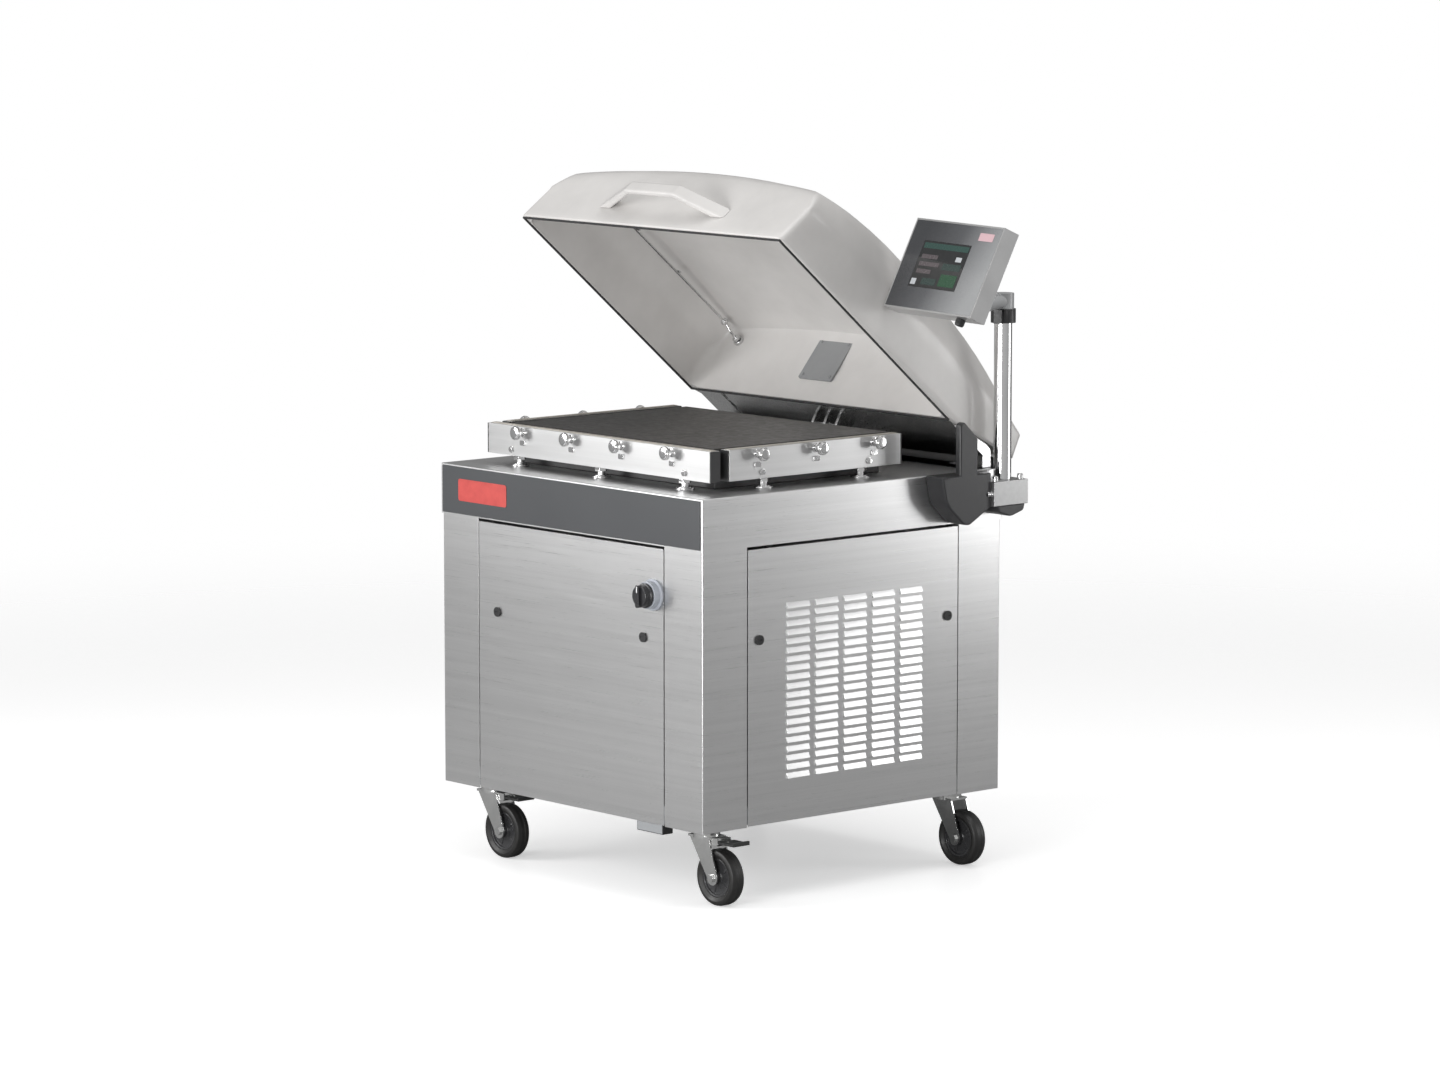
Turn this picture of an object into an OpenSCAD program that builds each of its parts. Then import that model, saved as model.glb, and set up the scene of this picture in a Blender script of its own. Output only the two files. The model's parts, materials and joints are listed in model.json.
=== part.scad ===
// Floor-standing chamber vacuum packing machine on casters.
// A sheet-steel cabinet carries a cast lid on a rear hinge, a work platform with
// three lifting sealing bars, and a touch panel on a swing arm at the right.
// X runs to the right, Y to the back and Z up. The origin is on the floor,
// under the middle of the whole machine.

/* [Cabinet] */
// Width of the cabinet
cabinet_w = 900; // [800:10:1100]
// Depth of the cabinet
cabinet_d = 883; // [800:1:1080]
// Height of the cabinet's lower edge above the floor
skirt_z = 170; // [165:1:220]
// Height of the table top above the floor
table_z = 900; // [840:5:1080]
// Height of the band folded down round the table top
band_h = 114; // [95:1:140]
// How far the band stands out past the cabinet
band_over = 3; // [1:0.5:6]
// Thickness of the stainless sheet
sheet = 2; // [1.5:0.1:3]
// Width of a corner post on each face
post_w = 127; // [100:1:150]
// Depth of the folded edges of posts and panels
fold = 18; // [12:1:26]
// Gap at each side of a service panel
panel_gap = 3; // [2:0.5:5]
// Dark gap between a service panel and the band above it
panel_top_gap = 7; // [4:0.5:12]
// Size of the square base frame tube
base_tube = 40; // [30:1:50]
// Thickness of the dark strip on the front of the band
fascia_t = 2; // [1:0.5:4]

/* [Louvres and locks] */
// Columns of louvres in a side panel
louvre_columns = 5; // [3:1:6]
// Rows of louvres in a side panel
louvre_rows = 20; // [10:1:24]
// Length of one louvre
louvre_w = 66; // [40:1:70]
// Height of one louvre hood
louvre_h = 13; // [8:1:15]
// How far a louvre hood stands out
louvre_proud = 5; // [3:0.5:9]
// Distance between louvre columns
louvre_pitch_x = 84; // [78:1:90]
// Distance between louvre rows
louvre_pitch_z = 19.8; // [18:0.1:22]
// Height of the lowest louvre above the cabinet's lower edge
louvre_z = 95; // [60:1:130]
// Radius of a panel lock
lock_r = 11; // [9:0.5:13]
// Distance from the middle of the front panel to each of its locks
front_lock_x = 253; // [150:1:270]
// Distance from the middle of the side panel to each of its locks
side_lock_y = 280; // [250:1:285]
// Height of the locks above the cabinet's lower edge
lock_z = 410; // [300:1:500]

/* [Main switch] */
// Distance from the middle of the front panel to the switch
switch_x = 287; // [200:1:295]
// Height of the switch above the cabinet's lower edge
switch_z = 507; // [460:1:560]
// Radius of the grey switch base
switch_r = 35; // [28:1:40]
// Depth of the grey switch base
switch_base_h = 22; // [12:1:30]
// Depth of the knob
switch_knob_h = 27; // [18:1:34]

/* [Casters] */
// Radius of a caster wheel
wheel_r = 62.5; // [50:0.5:65]
// Width of a caster wheel
wheel_w = 36; // [30:1:40]
// Distance from the swivel axis back to the wheel axle
trail = 46; // [36:1:50]
// Distance of a swivel axis in from both cabinet faces
caster_inset = 80; // [70:1:110]
// Radius of the wheel axle
axle_r = 6; // [5:0.5:8]

/* [Work platform] */
// Height of the filler plate's top above the table
plate_h = 91; // [80:1:100]
// Thickness of the filler plate
plate_t = 15; // [10:1:20]
// Height of a sealing bar
bar_h = 68; // [55:1:72]
// Thickness of a sealing bar
bar_t = 28; // [20:1:34]
// Gap between the table and the underside of the bars at rest
bar_lift_gap = 23; // [18:1:26]
// Clearance from the side bars to the lid's inner side
bar_side_gap = 43; // [38:1:60]
// Clearance from the front bar to the lid's inner front
bar_front_gap = 58; // [50:1:75]
// Clearance from the side bars to the lid's inner back
bar_back_gap = 33; // [20:1:60]
// Gap between the bars at the two near corners
bar_corner_gap = 18; // [12:1:26]
// Gap between the bars and the filler plate
plate_gap = 17; // [10:1:24]
// Travel of the sealing bars when they press
bar_travel = 12; // [6:1:14]
// Radius of a lift rod
rod_r = 9; // [6:0.5:11]
// Distance between lift rods of the front bar
front_rod_pitch = 285; // [200:1:300]
// Distance between lift rods of a side bar
side_rod_pitch = 286; // [180:1:300]
// Distance between pouch clips
clip_pitch = 172; // [120:1:180]
// Radius of a pouch clip
clip_r = 15; // [10:0.5:16]
// How far a pouch clip stands out from its bar
clip_proud = 29; // [20:1:30]

/* [Lid] */
// How far the lid is narrower than the cabinet
lid_narrower = 10; // [4:1:30]
// Distance of the closed lid's front edge back from the cabinet's front
lid_setback = 8.5; // [4:0.5:30]
// Depth of the lid's chamber rim
rim_d = 673; // [640:1:720]
// Wall thickness of the cast lid
lid_wall = 12; // [8:1:13]
// Thickness of the lid seal
gasket_t = 4.7; // [3:0.1:8]
// Angle by which the lid stands open
lid_open = 40.2; // [30:0.1:41]
// Distance of the hinge axis behind the chamber rim
hinge_back = 180; // [175:1:186]
// Distance of the hinge axis below the table top
hinge_drop = 18; // [16:0.5:20]
// Radius of the hinge shaft
shaft_r = 14; // [10:0.5:15]
// Width of the lid handle across its feet
handle_w = 430; // [300:5:480]
// Width of the lid handle's straight grip
handle_grip_w = 165; // [120:5:200]
// How far the handle stands out from the lid's front wall
handle_proud = 60; // [50:1:75]
// Height of the handle's bar
handle_h = 34; // [24:1:40]

/* [Touch panel] */
// Width of the touch panel
panel_w = 345; // [280:5:380]
// Height of the touch panel
panel_h = 210; // [180:5:230]
// Depth of the touch panel
panel_d = 40; // [30:1:50]
// Width of the display glass
screen_w = 186; // [150:1:200]
// Height of the display glass
screen_h = 108; // [90:1:120]
// Backward tilt of the touch panel
panel_tilt = 25; // [10:1:30]
// Turn of the touch panel towards the front left
panel_turn = 10; // [0:1:15]
// Radius of the upright tube
column_r = 20; // [16:1:22]
// Height of the upright tube's top above the table
column_h = 360; // [300:5:400]
// Length of the swing arm between its two axes
arm_len = 318; // [300:1:360]
// Angle of the swing arm, from straight to the front towards the right
arm_turn = 27.7; // [20:0.1:45]

/* [Hidden] */
$fn = 48;

// Clearances that many pieces share
run_gap = 0.06;   // radial gap of a shaft in its bore
fit_gap = 0.05;   // radial gap of a fixed round piece in its hole
body_gap = 0.4;   // gap between pieces of different bodies
seat = 0.3;       // gap of a soft or curved piece to its seat

half_w = cabinet_w/2;
half_d = cabinet_d/2;
band_z = table_z - band_h;
table_under = table_z - sheet;
panel_w_front = cabinet_w - 2*post_w - 2*panel_gap;
panel_w_side = cabinet_d - 2*post_w - 2*panel_gap;
panel_z0 = skirt_z + sheet;
panel_z1 = band_z - panel_top_gap;
base_z = skirt_z + 6;
base_top = base_z + base_tube;

lid_w = cabinet_w - lid_narrower;
rim_z = table_z + 0.3 + gasket_t;
lid_front = -half_d + lid_setback;
hinge_u = rim_d + hinge_back;
hinge_y = lid_front + hinge_u;
hinge_z = table_z - hinge_drop;
rim_above_hinge = rim_z - hinge_z;
hub_r = shaft_r + 6;

// Outline of the lid from the side: u runs back from the front edge of the
// rim and v up from the rim. Each corner is [u, v, fillet radius].
lid_tail = 212;
lid_top = 218;
lid_front_top = 178;
lid_lean = 46;
lid_corners = [
    [0, 0, 0], [lid_lean, lid_front_top, 34], [0.22*rim_d, 0.95*lid_top, 260],
    [0.48*rim_d, lid_top, 900], [0.88*rim_d, 0.93*lid_top, 700],
    [rim_d + 92, 166, 240], [rim_d + 192, 122, 50],
    [rim_d + lid_tail, 48, 12], [rim_d + 94, 25, 0], [rim_d, 0, 0]];
bevel_v = 108;
bevel_w = 32;
bevel_top = 190;

// Points of an outline whose corners [x, y, r] are rounded by arcs.
function unit2(v) = v/norm(v);
function fillet(a, b, c, n) =
    b[2] <= 0 ? [[b.x, b.y]] :
    let(
        p = [b.x, b.y],
        ua = unit2([a.x, a.y] - p),
        uc = unit2([c.x, c.y] - p),
        half = acos(ua*uc)/2,
        reach = min(b[2]/tan(half), 0.45*norm([a.x, a.y] - p), 0.45*norm([c.x, c.y] - p)),
        r = reach*tan(half),
        mid = p + unit2(ua + uc)*r/sin(half),
        sweep = 180 - 2*half,
        side = (ua.x*uc.y - ua.y*uc.x) > 0 ? -1 : 1,
        start = p + ua*reach - mid
    ) [for (i = [0:n]) let(t = side*sweep*i/n)
        mid + [start.x*cos(t) - start.y*sin(t), start.x*sin(t) + start.y*cos(t)]];
function rounded(corners, n = 5) = let(k = len(corners))
    [for (i = [0:k - 1]) each fillet(corners[(i + k - 1)%k], corners[i], corners[(i + 1)%k], n)];

lid_outline = rounded(lid_corners);

// Work platform, in the closed lid's chamber
bar_x = lid_w/2 - lid_wall - bar_side_gap;
bar_y = lid_front + lid_wall + bar_front_gap;
bar_back = lid_front + rim_d - lid_wall - bar_back_gap;
bar_z = table_z + bar_lift_gap;
plate_x = bar_x - bar_t - plate_gap;
plate_y = bar_y + bar_t + plate_gap;
side_bar_front = bar_y + bar_t + bar_corner_gap;
side_bar_mid = (side_bar_front + bar_back)/2;
base_inset = 14;
clip_rise = 0.82*bar_h;

// Column and swing arm at the right
column_x = half_w + 37;
column_y = hinge_y - 8;
block_front = column_y - 56;
arm_z = table_z + 380;
pivot_x = column_x + arm_len*sin(arm_turn);
pivot_y = column_y - arm_len*cos(arm_turn);
panel_ahead = 75;
panel_up = 77;

// The machine's reach on all sides, which sets the origin
function turned(p, a) = [p.x*cos(a) - p.y*sin(a), p.x*sin(a) + p.y*cos(a)];
function lid_reach(p) = turned([p.x - hinge_u, p.y + rim_above_hinge], -lid_open).x;
reach_back = hinge_y + max([for (p = lid_outline) lid_reach(p)]);
reach_front = half_d + switch_base_h + switch_knob_h;
panel_edge_y = [for (k = [panel_ahead, panel_ahead - panel_d])
    for (m = [panel_up - panel_h/2, panel_up + panel_h/2]) -k*cos(panel_tilt) + m*sin(panel_tilt)];
reach_right = pivot_x + max([for (e = panel_edge_y) turned([panel_w/2, e], -panel_turn).x]);
reach_left = half_w + max(band_over, louvre_proud);
origin_x = (reach_right - reach_left)/2;
origin_y = (reach_back - reach_front)/2;

module on_floor() {
    translate([-origin_x, -origin_y, 0]) children();
}

// A block from its low corner to its high corner
module block(a, b) {
    translate(a) cube(b - a);
}

// Side outline (Y, Z) drawn out along X, centred
module across(w) {
    rotate([90, 0, 90]) translate([0, 0, -w/2]) linear_extrude(w) children();
}

// Front outline (X, Z) drawn out along Y, from y to y + d
module deep(y, d) {
    translate([0, y + d, 0]) rotate([90, 0, 0]) linear_extrude(d) children();
}

// A cylinder along X or Y, centred
module rod_x(r, h) {
    rotate([0, 90, 0]) translate([0, 0, -h/2]) cylinder(r = r, h = h);
}
module rod_y(r, h) {
    rotate([90, 0, 0]) translate([0, 0, -h/2]) cylinder(r = r, h = h);
}

// Children at the four corners, as mirror images
module corners() {
    for (sx = [0, 1], sy = [0, 1])
        mirror([sx, 0, 0]) mirror([0, sy, 0]) children();
}

// ---- Cabinet ----

module base_frame() {
    outer = [half_w - sheet, half_d - sheet];
    inner = outer - [base_tube, base_tube];
    rail_y = 130;
    color("silver") on_floor() {
        difference() {
            block([-outer.x, -outer.y, base_z], [outer.x, outer.y, base_top]);
            block([-inner.x, -inner.y, base_z + sheet], [inner.x, inner.y, base_top + 1]);
        }
        for (y = [-rail_y, rail_y])
            block([-inner.x, y - base_tube/2, base_z + sheet], [inner.x, y + base_tube/2, base_top]);
        // Black towing hook under the front edge
        block([half_w - 224, -outer.y, skirt_z - 20], [half_w - 136, -outer.y + 30, base_z]);
    }
}

module corner_post() {
    keeper_x = half_w - post_w;
    difference() {
        block([keeper_x, -half_d, skirt_z], [half_w, -half_d + post_w, table_under]);
        block([keeper_x + sheet, -half_d + sheet, skirt_z - 1],
              [half_w - sheet, -half_d + post_w - sheet, table_z]);
        block([keeper_x - 1, -half_d + fold, skirt_z - 1],
              [half_w - fold, -half_d + post_w + 1, table_z]);
        // Room for the base frame behind the folded edges
        block([keeper_x - 1, -half_d + sheet, skirt_z - 1],
              [half_w - sheet, -half_d + post_w + 1, base_top]);
    }
}

lock_height = skirt_z + lock_z;
keeper_h = 24;
keeper_gap = 1;
keeper_back = fold + keeper_gap + sheet;
tongue_l = 24;

// A tab that carries the lock's tongue, from the post's fold in to near the lock
module keeper(in, out) {
    block([in, -half_d + fold + keeper_gap, lock_height - keeper_h/2],
          [out + sheet, -half_d + keeper_back, lock_height + keeper_h/2]);
    block([out, -half_d + fold - 1, lock_height - keeper_h/2],
          [out + sheet, -half_d + keeper_back, lock_height + keeper_h/2]);
}

module corner_posts() {
    keep_front = front_lock_x + lock_r;
    keep_side = side_lock_y + lock_r;
    post_x = half_w - post_w;
    post_y = half_d - post_w;
    color("gainsboro") on_floor() {
        difference() {
            corners() corner_post();
            // The rear posts end under the hinge pocket
            block([-notch_x - sheet, notch_y - sheet, notch_z - sheet],
                  [notch_x + sheet, half_d + 1, table_z]);
        }
        for (s = [0, 1]) mirror([s, 0, 0]) keeper(keep_front, post_x);
        for (s = [0, 1]) mirror([0, s, 0]) rotate([0, 0, 90])
            translate([0, half_d - half_w, 0]) mirror([1, 0, 0]) keeper(keep_side, post_y);
    }
}

// A folded sheet panel in the plane of the cabinet's front, centred on X
module service_panel(w) {
    difference() {
        block([-w/2, -half_d, panel_z0], [w/2, -half_d + fold, panel_z1]);
        block([-w/2 + sheet, -half_d + sheet, base_top],
              [w/2 - sheet, -half_d + fold + 1, panel_z1 - sheet]);
        block([-w/2 - 1, -half_d + sheet, panel_z0 - 1],
              [w/2 + 1, -half_d + fold + 1, base_top + 1]);
    }
}

switch_hole_r = 10;
module front_panel() {
    color("gainsboro") on_floor() difference() {
        service_panel(panel_w_front);
        for (s = [-1, 1])
            translate([s*front_lock_x, -half_d, lock_height]) rod_y(lock_r - 2, 3*sheet);
        translate([switch_x, -half_d, skirt_z + switch_z]) rod_y(switch_hole_r, 3*sheet);
    }
}

// One column of louvre hoods from the side (X is the depth, Y the height)
louvre_slot = 6;
louvre_lip = 2;
louvre_wall = 1;
module louvre_hoods(z0) {
    for (i = [0:louvre_rows - 1])
        translate([0, z0 + i*louvre_pitch_z])
            polygon([[0.5, 0], [-louvre_proud, 0], [-louvre_proud, louvre_lip],
                [-louvre_wall, louvre_h], [0.5, louvre_h]]);
}

// The air's way through the sheet and down out of each hood
module louvre_slots(z0) {
    low = -louvre_proud + louvre_wall;
    for (i = [0:louvre_rows - 1])
        translate([0, z0 + i*louvre_pitch_z])
            polygon([[sheet + 1, 0.5], [0, 0.5], [0, -1], [low, -1], [low, louvre_lip],
                [0, louvre_slot], [sheet + 1, louvre_slot]]);
}

module louvred_panel() {
    z0 = skirt_z + louvre_z;
    first = -(louvre_columns - 1)/2;
    difference() {
        union() {
            side_sheet();
            for (c = [0:louvre_columns - 1])
                translate([(first + c)*louvre_pitch_x, -half_w, 0])
                    across(louvre_w) louvre_hoods(z0);
        }
        for (c = [0:louvre_columns - 1])
            translate([(first + c)*louvre_pitch_x, -half_w, 0])
                across(louvre_w - 2*louvre_wall) louvre_slots(z0);
    }
}

// A side panel lies in the plane y = -half_w before it is turned to its side
module side_sheet() {
    translate([0, half_d - half_w, 0]) service_panel(panel_w_side);
}

module right_panel() {
    color("silver") on_floor() rotate([0, 0, 90]) difference() {
        louvred_panel();
        for (s = [-1, 1])
            translate([s*side_lock_y, -half_w, lock_height]) rod_y(lock_r - 2, 3*sheet);
    }
}

module left_panel() {
    color("silver") on_floor() rotate([0, 0, -90]) louvred_panel();
}

gland_x = -210;
gland_z = skirt_z + 120;
gland_r = 10;
module rear_panel() {
    color("silver") on_floor() rotate([0, 0, 180]) difference() {
        service_panel(panel_w_front);
        translate([gland_x, -half_d, gland_z]) rod_y(gland_r, 3*sheet);
    }
}

// Pocket for the hinge at the back of the table
notch_x = lid_w/2 - 5;
notch_y = hinge_y - 55;
notch_z = hinge_z - hub_r - 6;
notch_back = half_d + band_over - sheet;
// Pocket for the lid's lock bracket
latch_x = 56;
latch_y0 = hinge_y - 160;
latch_y1 = hinge_y - 84;
latch_z = table_z - 42;
port_r = 20;

module table_top() {
    reach = [half_w + band_over, half_d + band_over];
    color("gainsboro") on_floor() difference() {
        union() {
            difference() {
                block([-reach.x, -reach.y, band_z], [reach.x, reach.y, table_z]);
                block([-reach.x + sheet, -reach.y + sheet, band_z - 1],
                      [reach.x - sheet, reach.y - sheet, table_under]);
            }
            block([-notch_x - sheet, notch_y - sheet, notch_z - sheet],
                  [notch_x + sheet, notch_back + 0.5, table_under + 0.5]);
            block([-latch_x - sheet, latch_y0 - sheet, latch_z - sheet],
                  [latch_x + sheet, latch_y1 + sheet, table_under + 0.5]);
        }
        block([-notch_x, notch_y, notch_z], [notch_x, notch_back, table_z + 1]);
        block([-latch_x, latch_y0, latch_z], [latch_x, latch_y1, table_z + 1]);
        at_rods() translate([0, 0, table_under - 1]) cylinder(r = cyl_r + seat, h = sheet + 2);
        translate([0, side_bar_mid, table_under - 1]) cylinder(r = port_r, h = sheet + 2);
    }
}

module front_fascia() {
    color("dimgray") on_floor()
        block([-half_w + 4, -half_d - band_over - fascia_t, band_z + 3],
              [half_w - 4, -half_d - band_over, table_z - 4]);
}

// ---- Work platform ----

module platform_base() {
    low = [-plate_x + base_inset, plate_y + base_inset, table_z];
    high = [plate_x - base_inset, bar_back - base_inset, table_z + plate_h - plate_t];
    color("black") on_floor() difference() {
        block(low, high);
        block(low + [20, 20, 20], high - [20, 20, -1]);
        translate([0, side_bar_mid, table_z - 1]) cylinder(r = port_r, h = 30);
    }
}

module filler_plate() {
    top = table_z + plate_h;
    color("dimgray") on_floor() block([-plate_x, plate_y, top - plate_t], [plate_x, bar_back, top]);
}

cyl_r = rod_r + 7;
cyl_top = table_z + 6;
cyl_h = 110;

// Children at each lift rod's place
module at_front_rods() {
    for (i = [-1:1]) translate([i*front_rod_pitch, bar_y + bar_t/2, 0]) children();
}
module at_side_rods() {
    for (i = [-0.5, 0.5])
        translate([bar_x - bar_t/2, side_bar_mid + i*side_rod_pitch, 0]) children();
}
module at_rods() {
    at_front_rods() children();
    at_side_rods() children();
    mirror([1, 0, 0]) at_side_rods() children();
}

module lift_cylinders() {
    color("silver") on_floor() at_rods() difference() {
        union() {
            translate([0, 0, cyl_top - cyl_h]) cylinder(r = cyl_r, h = cyl_h);
            translate([0, 0, table_z]) cylinder(r = cyl_r + 5, h = 4);
        }
        translate([0, 0, cyl_top - cyl_h + 6]) cylinder(r = rod_r + run_gap, h = cyl_h);
    }
}

// A stainless channel bar along X with dark end caps, its outer face at y = 0
module seal_bar(l) {
    cap_t = 4;
    color("gainsboro") difference() {
        block([-l/2 + cap_t, 0, 0], [l/2 - cap_t, bar_t, bar_h]);
        block([-l/2 + cap_t + 1, bar_t/2 - 7, bar_h - 4], [l/2 - cap_t - 1, bar_t/2 + 7, bar_h + 1]);
    }
    color("black") for (s = [0, 1]) mirror([s, 0, 0])
        block([l/2 - cap_t, 0.5, 0.5], [l/2, bar_t - 0.5, bar_h - 0.5]);
}

module heater_strip(l) {
    block([-l/2 + 8, bar_t/2 - 7, bar_h - 4], [l/2 - 8, bar_t/2 + 7, bar_h + 1.5]);
}

// Lift rod that hangs from a bar into its cylinder
module lift_rod() {
    rod_low = cyl_top - cyl_h + 16;
    translate([0, 0, rod_low]) cylinder(r = rod_r, h = bar_z - rod_low);
}

// Sprung clip button on the outer face of a bar: stem, collar and button
module pouch_clip() {
    rotate([90, 0, 0]) {
        cylinder(r = 6, h = clip_proud - 10);
        cylinder(r = 10, h = 4);
        translate([0, 0, clip_proud - 12]) cylinder(r = clip_r, h = 10);
        translate([0, 0, clip_proud - 2.5]) cylinder(r = clip_r - 3, h = 2.5);
    }
}

// Small bolt head low on the outer face of a bar
module bar_bolt() {
    rotate([90, 0, 0]) cylinder(r = 7, h = 5, $fn = 6);
}

// Places on the front bar and on a side bar; a side bar is drawn like the front
// one and turned to its side
front_bar_l = 2*bar_x - 8;
side_bar_l = bar_back - side_bar_front;
bolt_h = 14;
module on_front_bar() {
    translate([0, bar_y, bar_z]) children();
}
module on_right_bar() {
    translate([bar_x, side_bar_mid, bar_z]) rotate([0, 0, 90]) children();
}

module bar_buttons(n, bolt_x) {
    for (i = [0:n - 1]) translate([(i - (n - 1)/2)*clip_pitch, 0, clip_rise]) pouch_clip();
    for (s = [-1, 1]) translate([s*bolt_x, 0, bolt_h]) bar_bolt();
}

module seal_bar_front() { on_floor() on_front_bar() seal_bar(front_bar_l); }
module seal_bar_right() { on_floor() on_right_bar() seal_bar(side_bar_l); }
module seal_bar_left() { on_floor() mirror([1, 0, 0]) on_right_bar() seal_bar(side_bar_l); }
module heater_strip_front() { color("tan") on_floor() on_front_bar() heater_strip(front_bar_l); }
module heater_strip_right() { color("tan") on_floor() on_right_bar() heater_strip(side_bar_l); }
module heater_strip_left() {
    color("tan") on_floor() mirror([1, 0, 0]) on_right_bar() heater_strip(side_bar_l);
}

module bar_fittings_front() {
    color("white") on_floor() {
        at_front_rods() lift_rod();
        on_front_bar() bar_buttons(4, front_rod_pitch + 14);
    }
}
module side_fittings() {
    at_side_rods() lift_rod();
    on_right_bar() bar_buttons(3, side_rod_pitch/2 + 14);
}
module bar_fittings_right() { color("white") on_floor() side_fittings(); }
module bar_fittings_left() { color("white") on_floor() mirror([1, 0, 0]) side_fittings(); }

// ---- Lid ----

// Children drawn in the closed lid's own frame (X, u, v), shown open
module on_lid() {
    on_floor() translate([0, hinge_y, hinge_z]) rotate([-lid_open, 0, 0])
        translate([0, -hinge_u, rim_above_hinge]) children();
}

// Cross-section of the lid from the front, shrunk by t
module lid_section(t, low) {
    w = lid_w/2 - t;
    polygon([[-w, low], [w, low], [w, bevel_v], [w - bevel_w, bevel_top], [200 - t, lid_top - 8 - t],
        [0, lid_top + 2 - t], [-200 + t, lid_top - 8 - t], [-w + bevel_w, bevel_top], [-w, bevel_v]]);
}

module lid_shell() {
    // Chamber and tail hollows, a wall inside the outline
    t = lid_wall;
    chamber = rounded([[t, -1, 0], [lid_lean + t, lid_front_top - t, 26], [0.22*rim_d, 0.95*lid_top - t, 260],
        [0.48*rim_d, lid_top - t, 900], [0.88*rim_d, 0.93*lid_top - t, 700],
        [rim_d - t, 0.9*lid_top - t, 12], [rim_d - t, -1, 0]]);
    tail = rounded([[rim_d, -5, 0], [rim_d, 0.86*lid_top - t, 24], [rim_d + 92 - t, 166 - t, 100],
        [rim_d + 192 - t, 122 - t, 40], [rim_d + lid_tail - t, 58, 8], [rim_d + lid_tail - t, 20, 0]]);
    color("gainsboro") on_lid() difference() {
        intersection() {
            across(lid_w) polygon(lid_outline);
            deep(-5, rim_d + lid_tail + 10) lid_section(0, 0);
        }
        intersection() {
            across(lid_w - 2*t) polygon(chamber);
            deep(-5, rim_d) lid_section(t, -1);
        }
        intersection() {
            across(lid_w - 2*t) polygon(tail);
            deep(rim_d, lid_tail) lid_section(t, -10);
        }
    }
}

module lid_gasket() {
    x = lid_w/2 - 3;
    color("black") on_lid() difference() {
        block([-x, 3, -gasket_t], [x, rim_d - 3, 0]);
        block([-x + 6, 9, -gasket_t - 1], [x - 6, rim_d - 9, 1]);
    }
}

// Trapezoid bridge handle, drawn on a front wall plane that leans back
lean_angle = atan(lid_lean/lid_front_top);
handle_t = 13;
handle_v = 46;
module handle_outline() {
    f = handle_w/2;
    g = handle_grip_w/2;
    polygon(rounded([[-f, 0.2, 0], [-g, -handle_proud, 18], [g, -handle_proud, 18], [f, 0.2, 0],
        [f - 42, 0.2, 0], [g - 6, -handle_proud + handle_t, 12], [-g + 6, -handle_proud + handle_t, 12],
        [-f + 42, 0.2, 0]]));
}
module lid_handle() {
    color("whitesmoke") on_lid() rotate([-lean_angle, 0, 0]) translate([0, -0.2, handle_v])
        linear_extrude(handle_h) handle_outline();
}

vent_x = -42;
vent_v = 56;
vent_size = 112;
module lid_vent_plate() {
    y = rim_d - lid_wall;
    color("gray") on_lid() difference() {
        block([vent_x - vent_size/2, y - 5, vent_v], [vent_x + vent_size/2, y, vent_v + vent_size]);
        for (i = [0:6])
            block([vent_x - vent_size/2 + 12, y - 6, vent_v + 14 + 13*i],
                  [vent_x + vent_size/2 - 12, y - 2, vent_v + 18 + 13*i]);
    }
}

// Thin tube along the top left of the chamber to a fitting on its back wall
pipe_r = 3;
pipe_x = lid_w/2 - 70;
pipe_v = 150;
// Place and height of the boss that hangs the tube's front end from the lid's top
pipe_front = 90;
pipe_boss_h = 24;
pipe_nut_l = 16;
module lid_pipe() {
    front = pipe_front;
    back = rim_d - lid_wall;
    color("dimgray") on_lid() {
        translate([-pipe_x, (front + back)/2, pipe_v]) rod_y(pipe_r, back - front);
        translate([-pipe_x, back - pipe_nut_l/2, pipe_v]) rod_y(9, pipe_nut_l);
        translate([-pipe_x, front + pipe_nut_l/2, pipe_v]) cylinder(r = 6, h = pipe_boss_h);
    }
}

arm_w = 80;
arm_x = lid_w/2 - 15;
module hinge_arms() {
    side = [[rim_d, 3], [rim_d, 46], [hinge_u - 30, 28], [hinge_u, -rim_above_hinge + hub_r],
        [hinge_u, -rim_above_hinge], [hinge_u - hub_r, -rim_above_hinge],
        [hinge_u - 40, 3]];
    color("silver") on_lid() difference() {
        union() {
            for (s = [-1, 1]) translate([s*(arm_x - arm_w/2), 0, 0]) {
                across(arm_w) polygon(side);
                translate([0, hinge_u, -rim_above_hinge]) rod_x(hub_r, arm_w);
            }
            block([-arm_x + arm_w - 1, rim_d + 14, 6], [arm_x - arm_w + 1, hinge_u - 22, 14]);
            // Fixing flange on the chamber's rear wall
            block([-arm_x + arm_w - 1, rim_d, 6], [arm_x - arm_w + 1, rim_d + 15, 34]);
        }
        translate([0, hinge_u, -rim_above_hinge]) rod_x(shaft_r + 0.03, lid_w);
    }
}

module hinge_shaft() {
    color("silver") on_lid() translate([0, hinge_u, -rim_above_hinge]) rod_x(shaft_r, 2*arm_x);
}

bearing_x = arm_x - arm_w - 24;
module hinge_bearings() {
    color("dimgray") on_floor() for (s = [-1, 1])
        translate([s*bearing_x, hinge_y, 0]) difference() {
            union() {
                block([-13, -24, notch_z], [13, hub_r + 1, notch_z + 10]);
                block([-13, -hub_r, notch_z + 5], [13, hub_r, hinge_z]);
                translate([0, 0, hinge_z]) rod_x(hub_r, 26);
            }
            translate([0, 0, hinge_z]) rod_x(shaft_r + run_gap, 30);
        }
}

module lid_lock_bracket() {
    u = hinge_u - 122;
    color("silver") on_lid() {
        for (x = [-40, 0, 40]) translate([x, 0, 0]) across(8)
            polygon(rounded([[u - 24, 6, 0], [u - 16, -30, 12], [u + 16, -30, 12], [u + 24, 6, 0]]));
        translate([0, u, -16]) rod_x(6, 88);
    }
}

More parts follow.
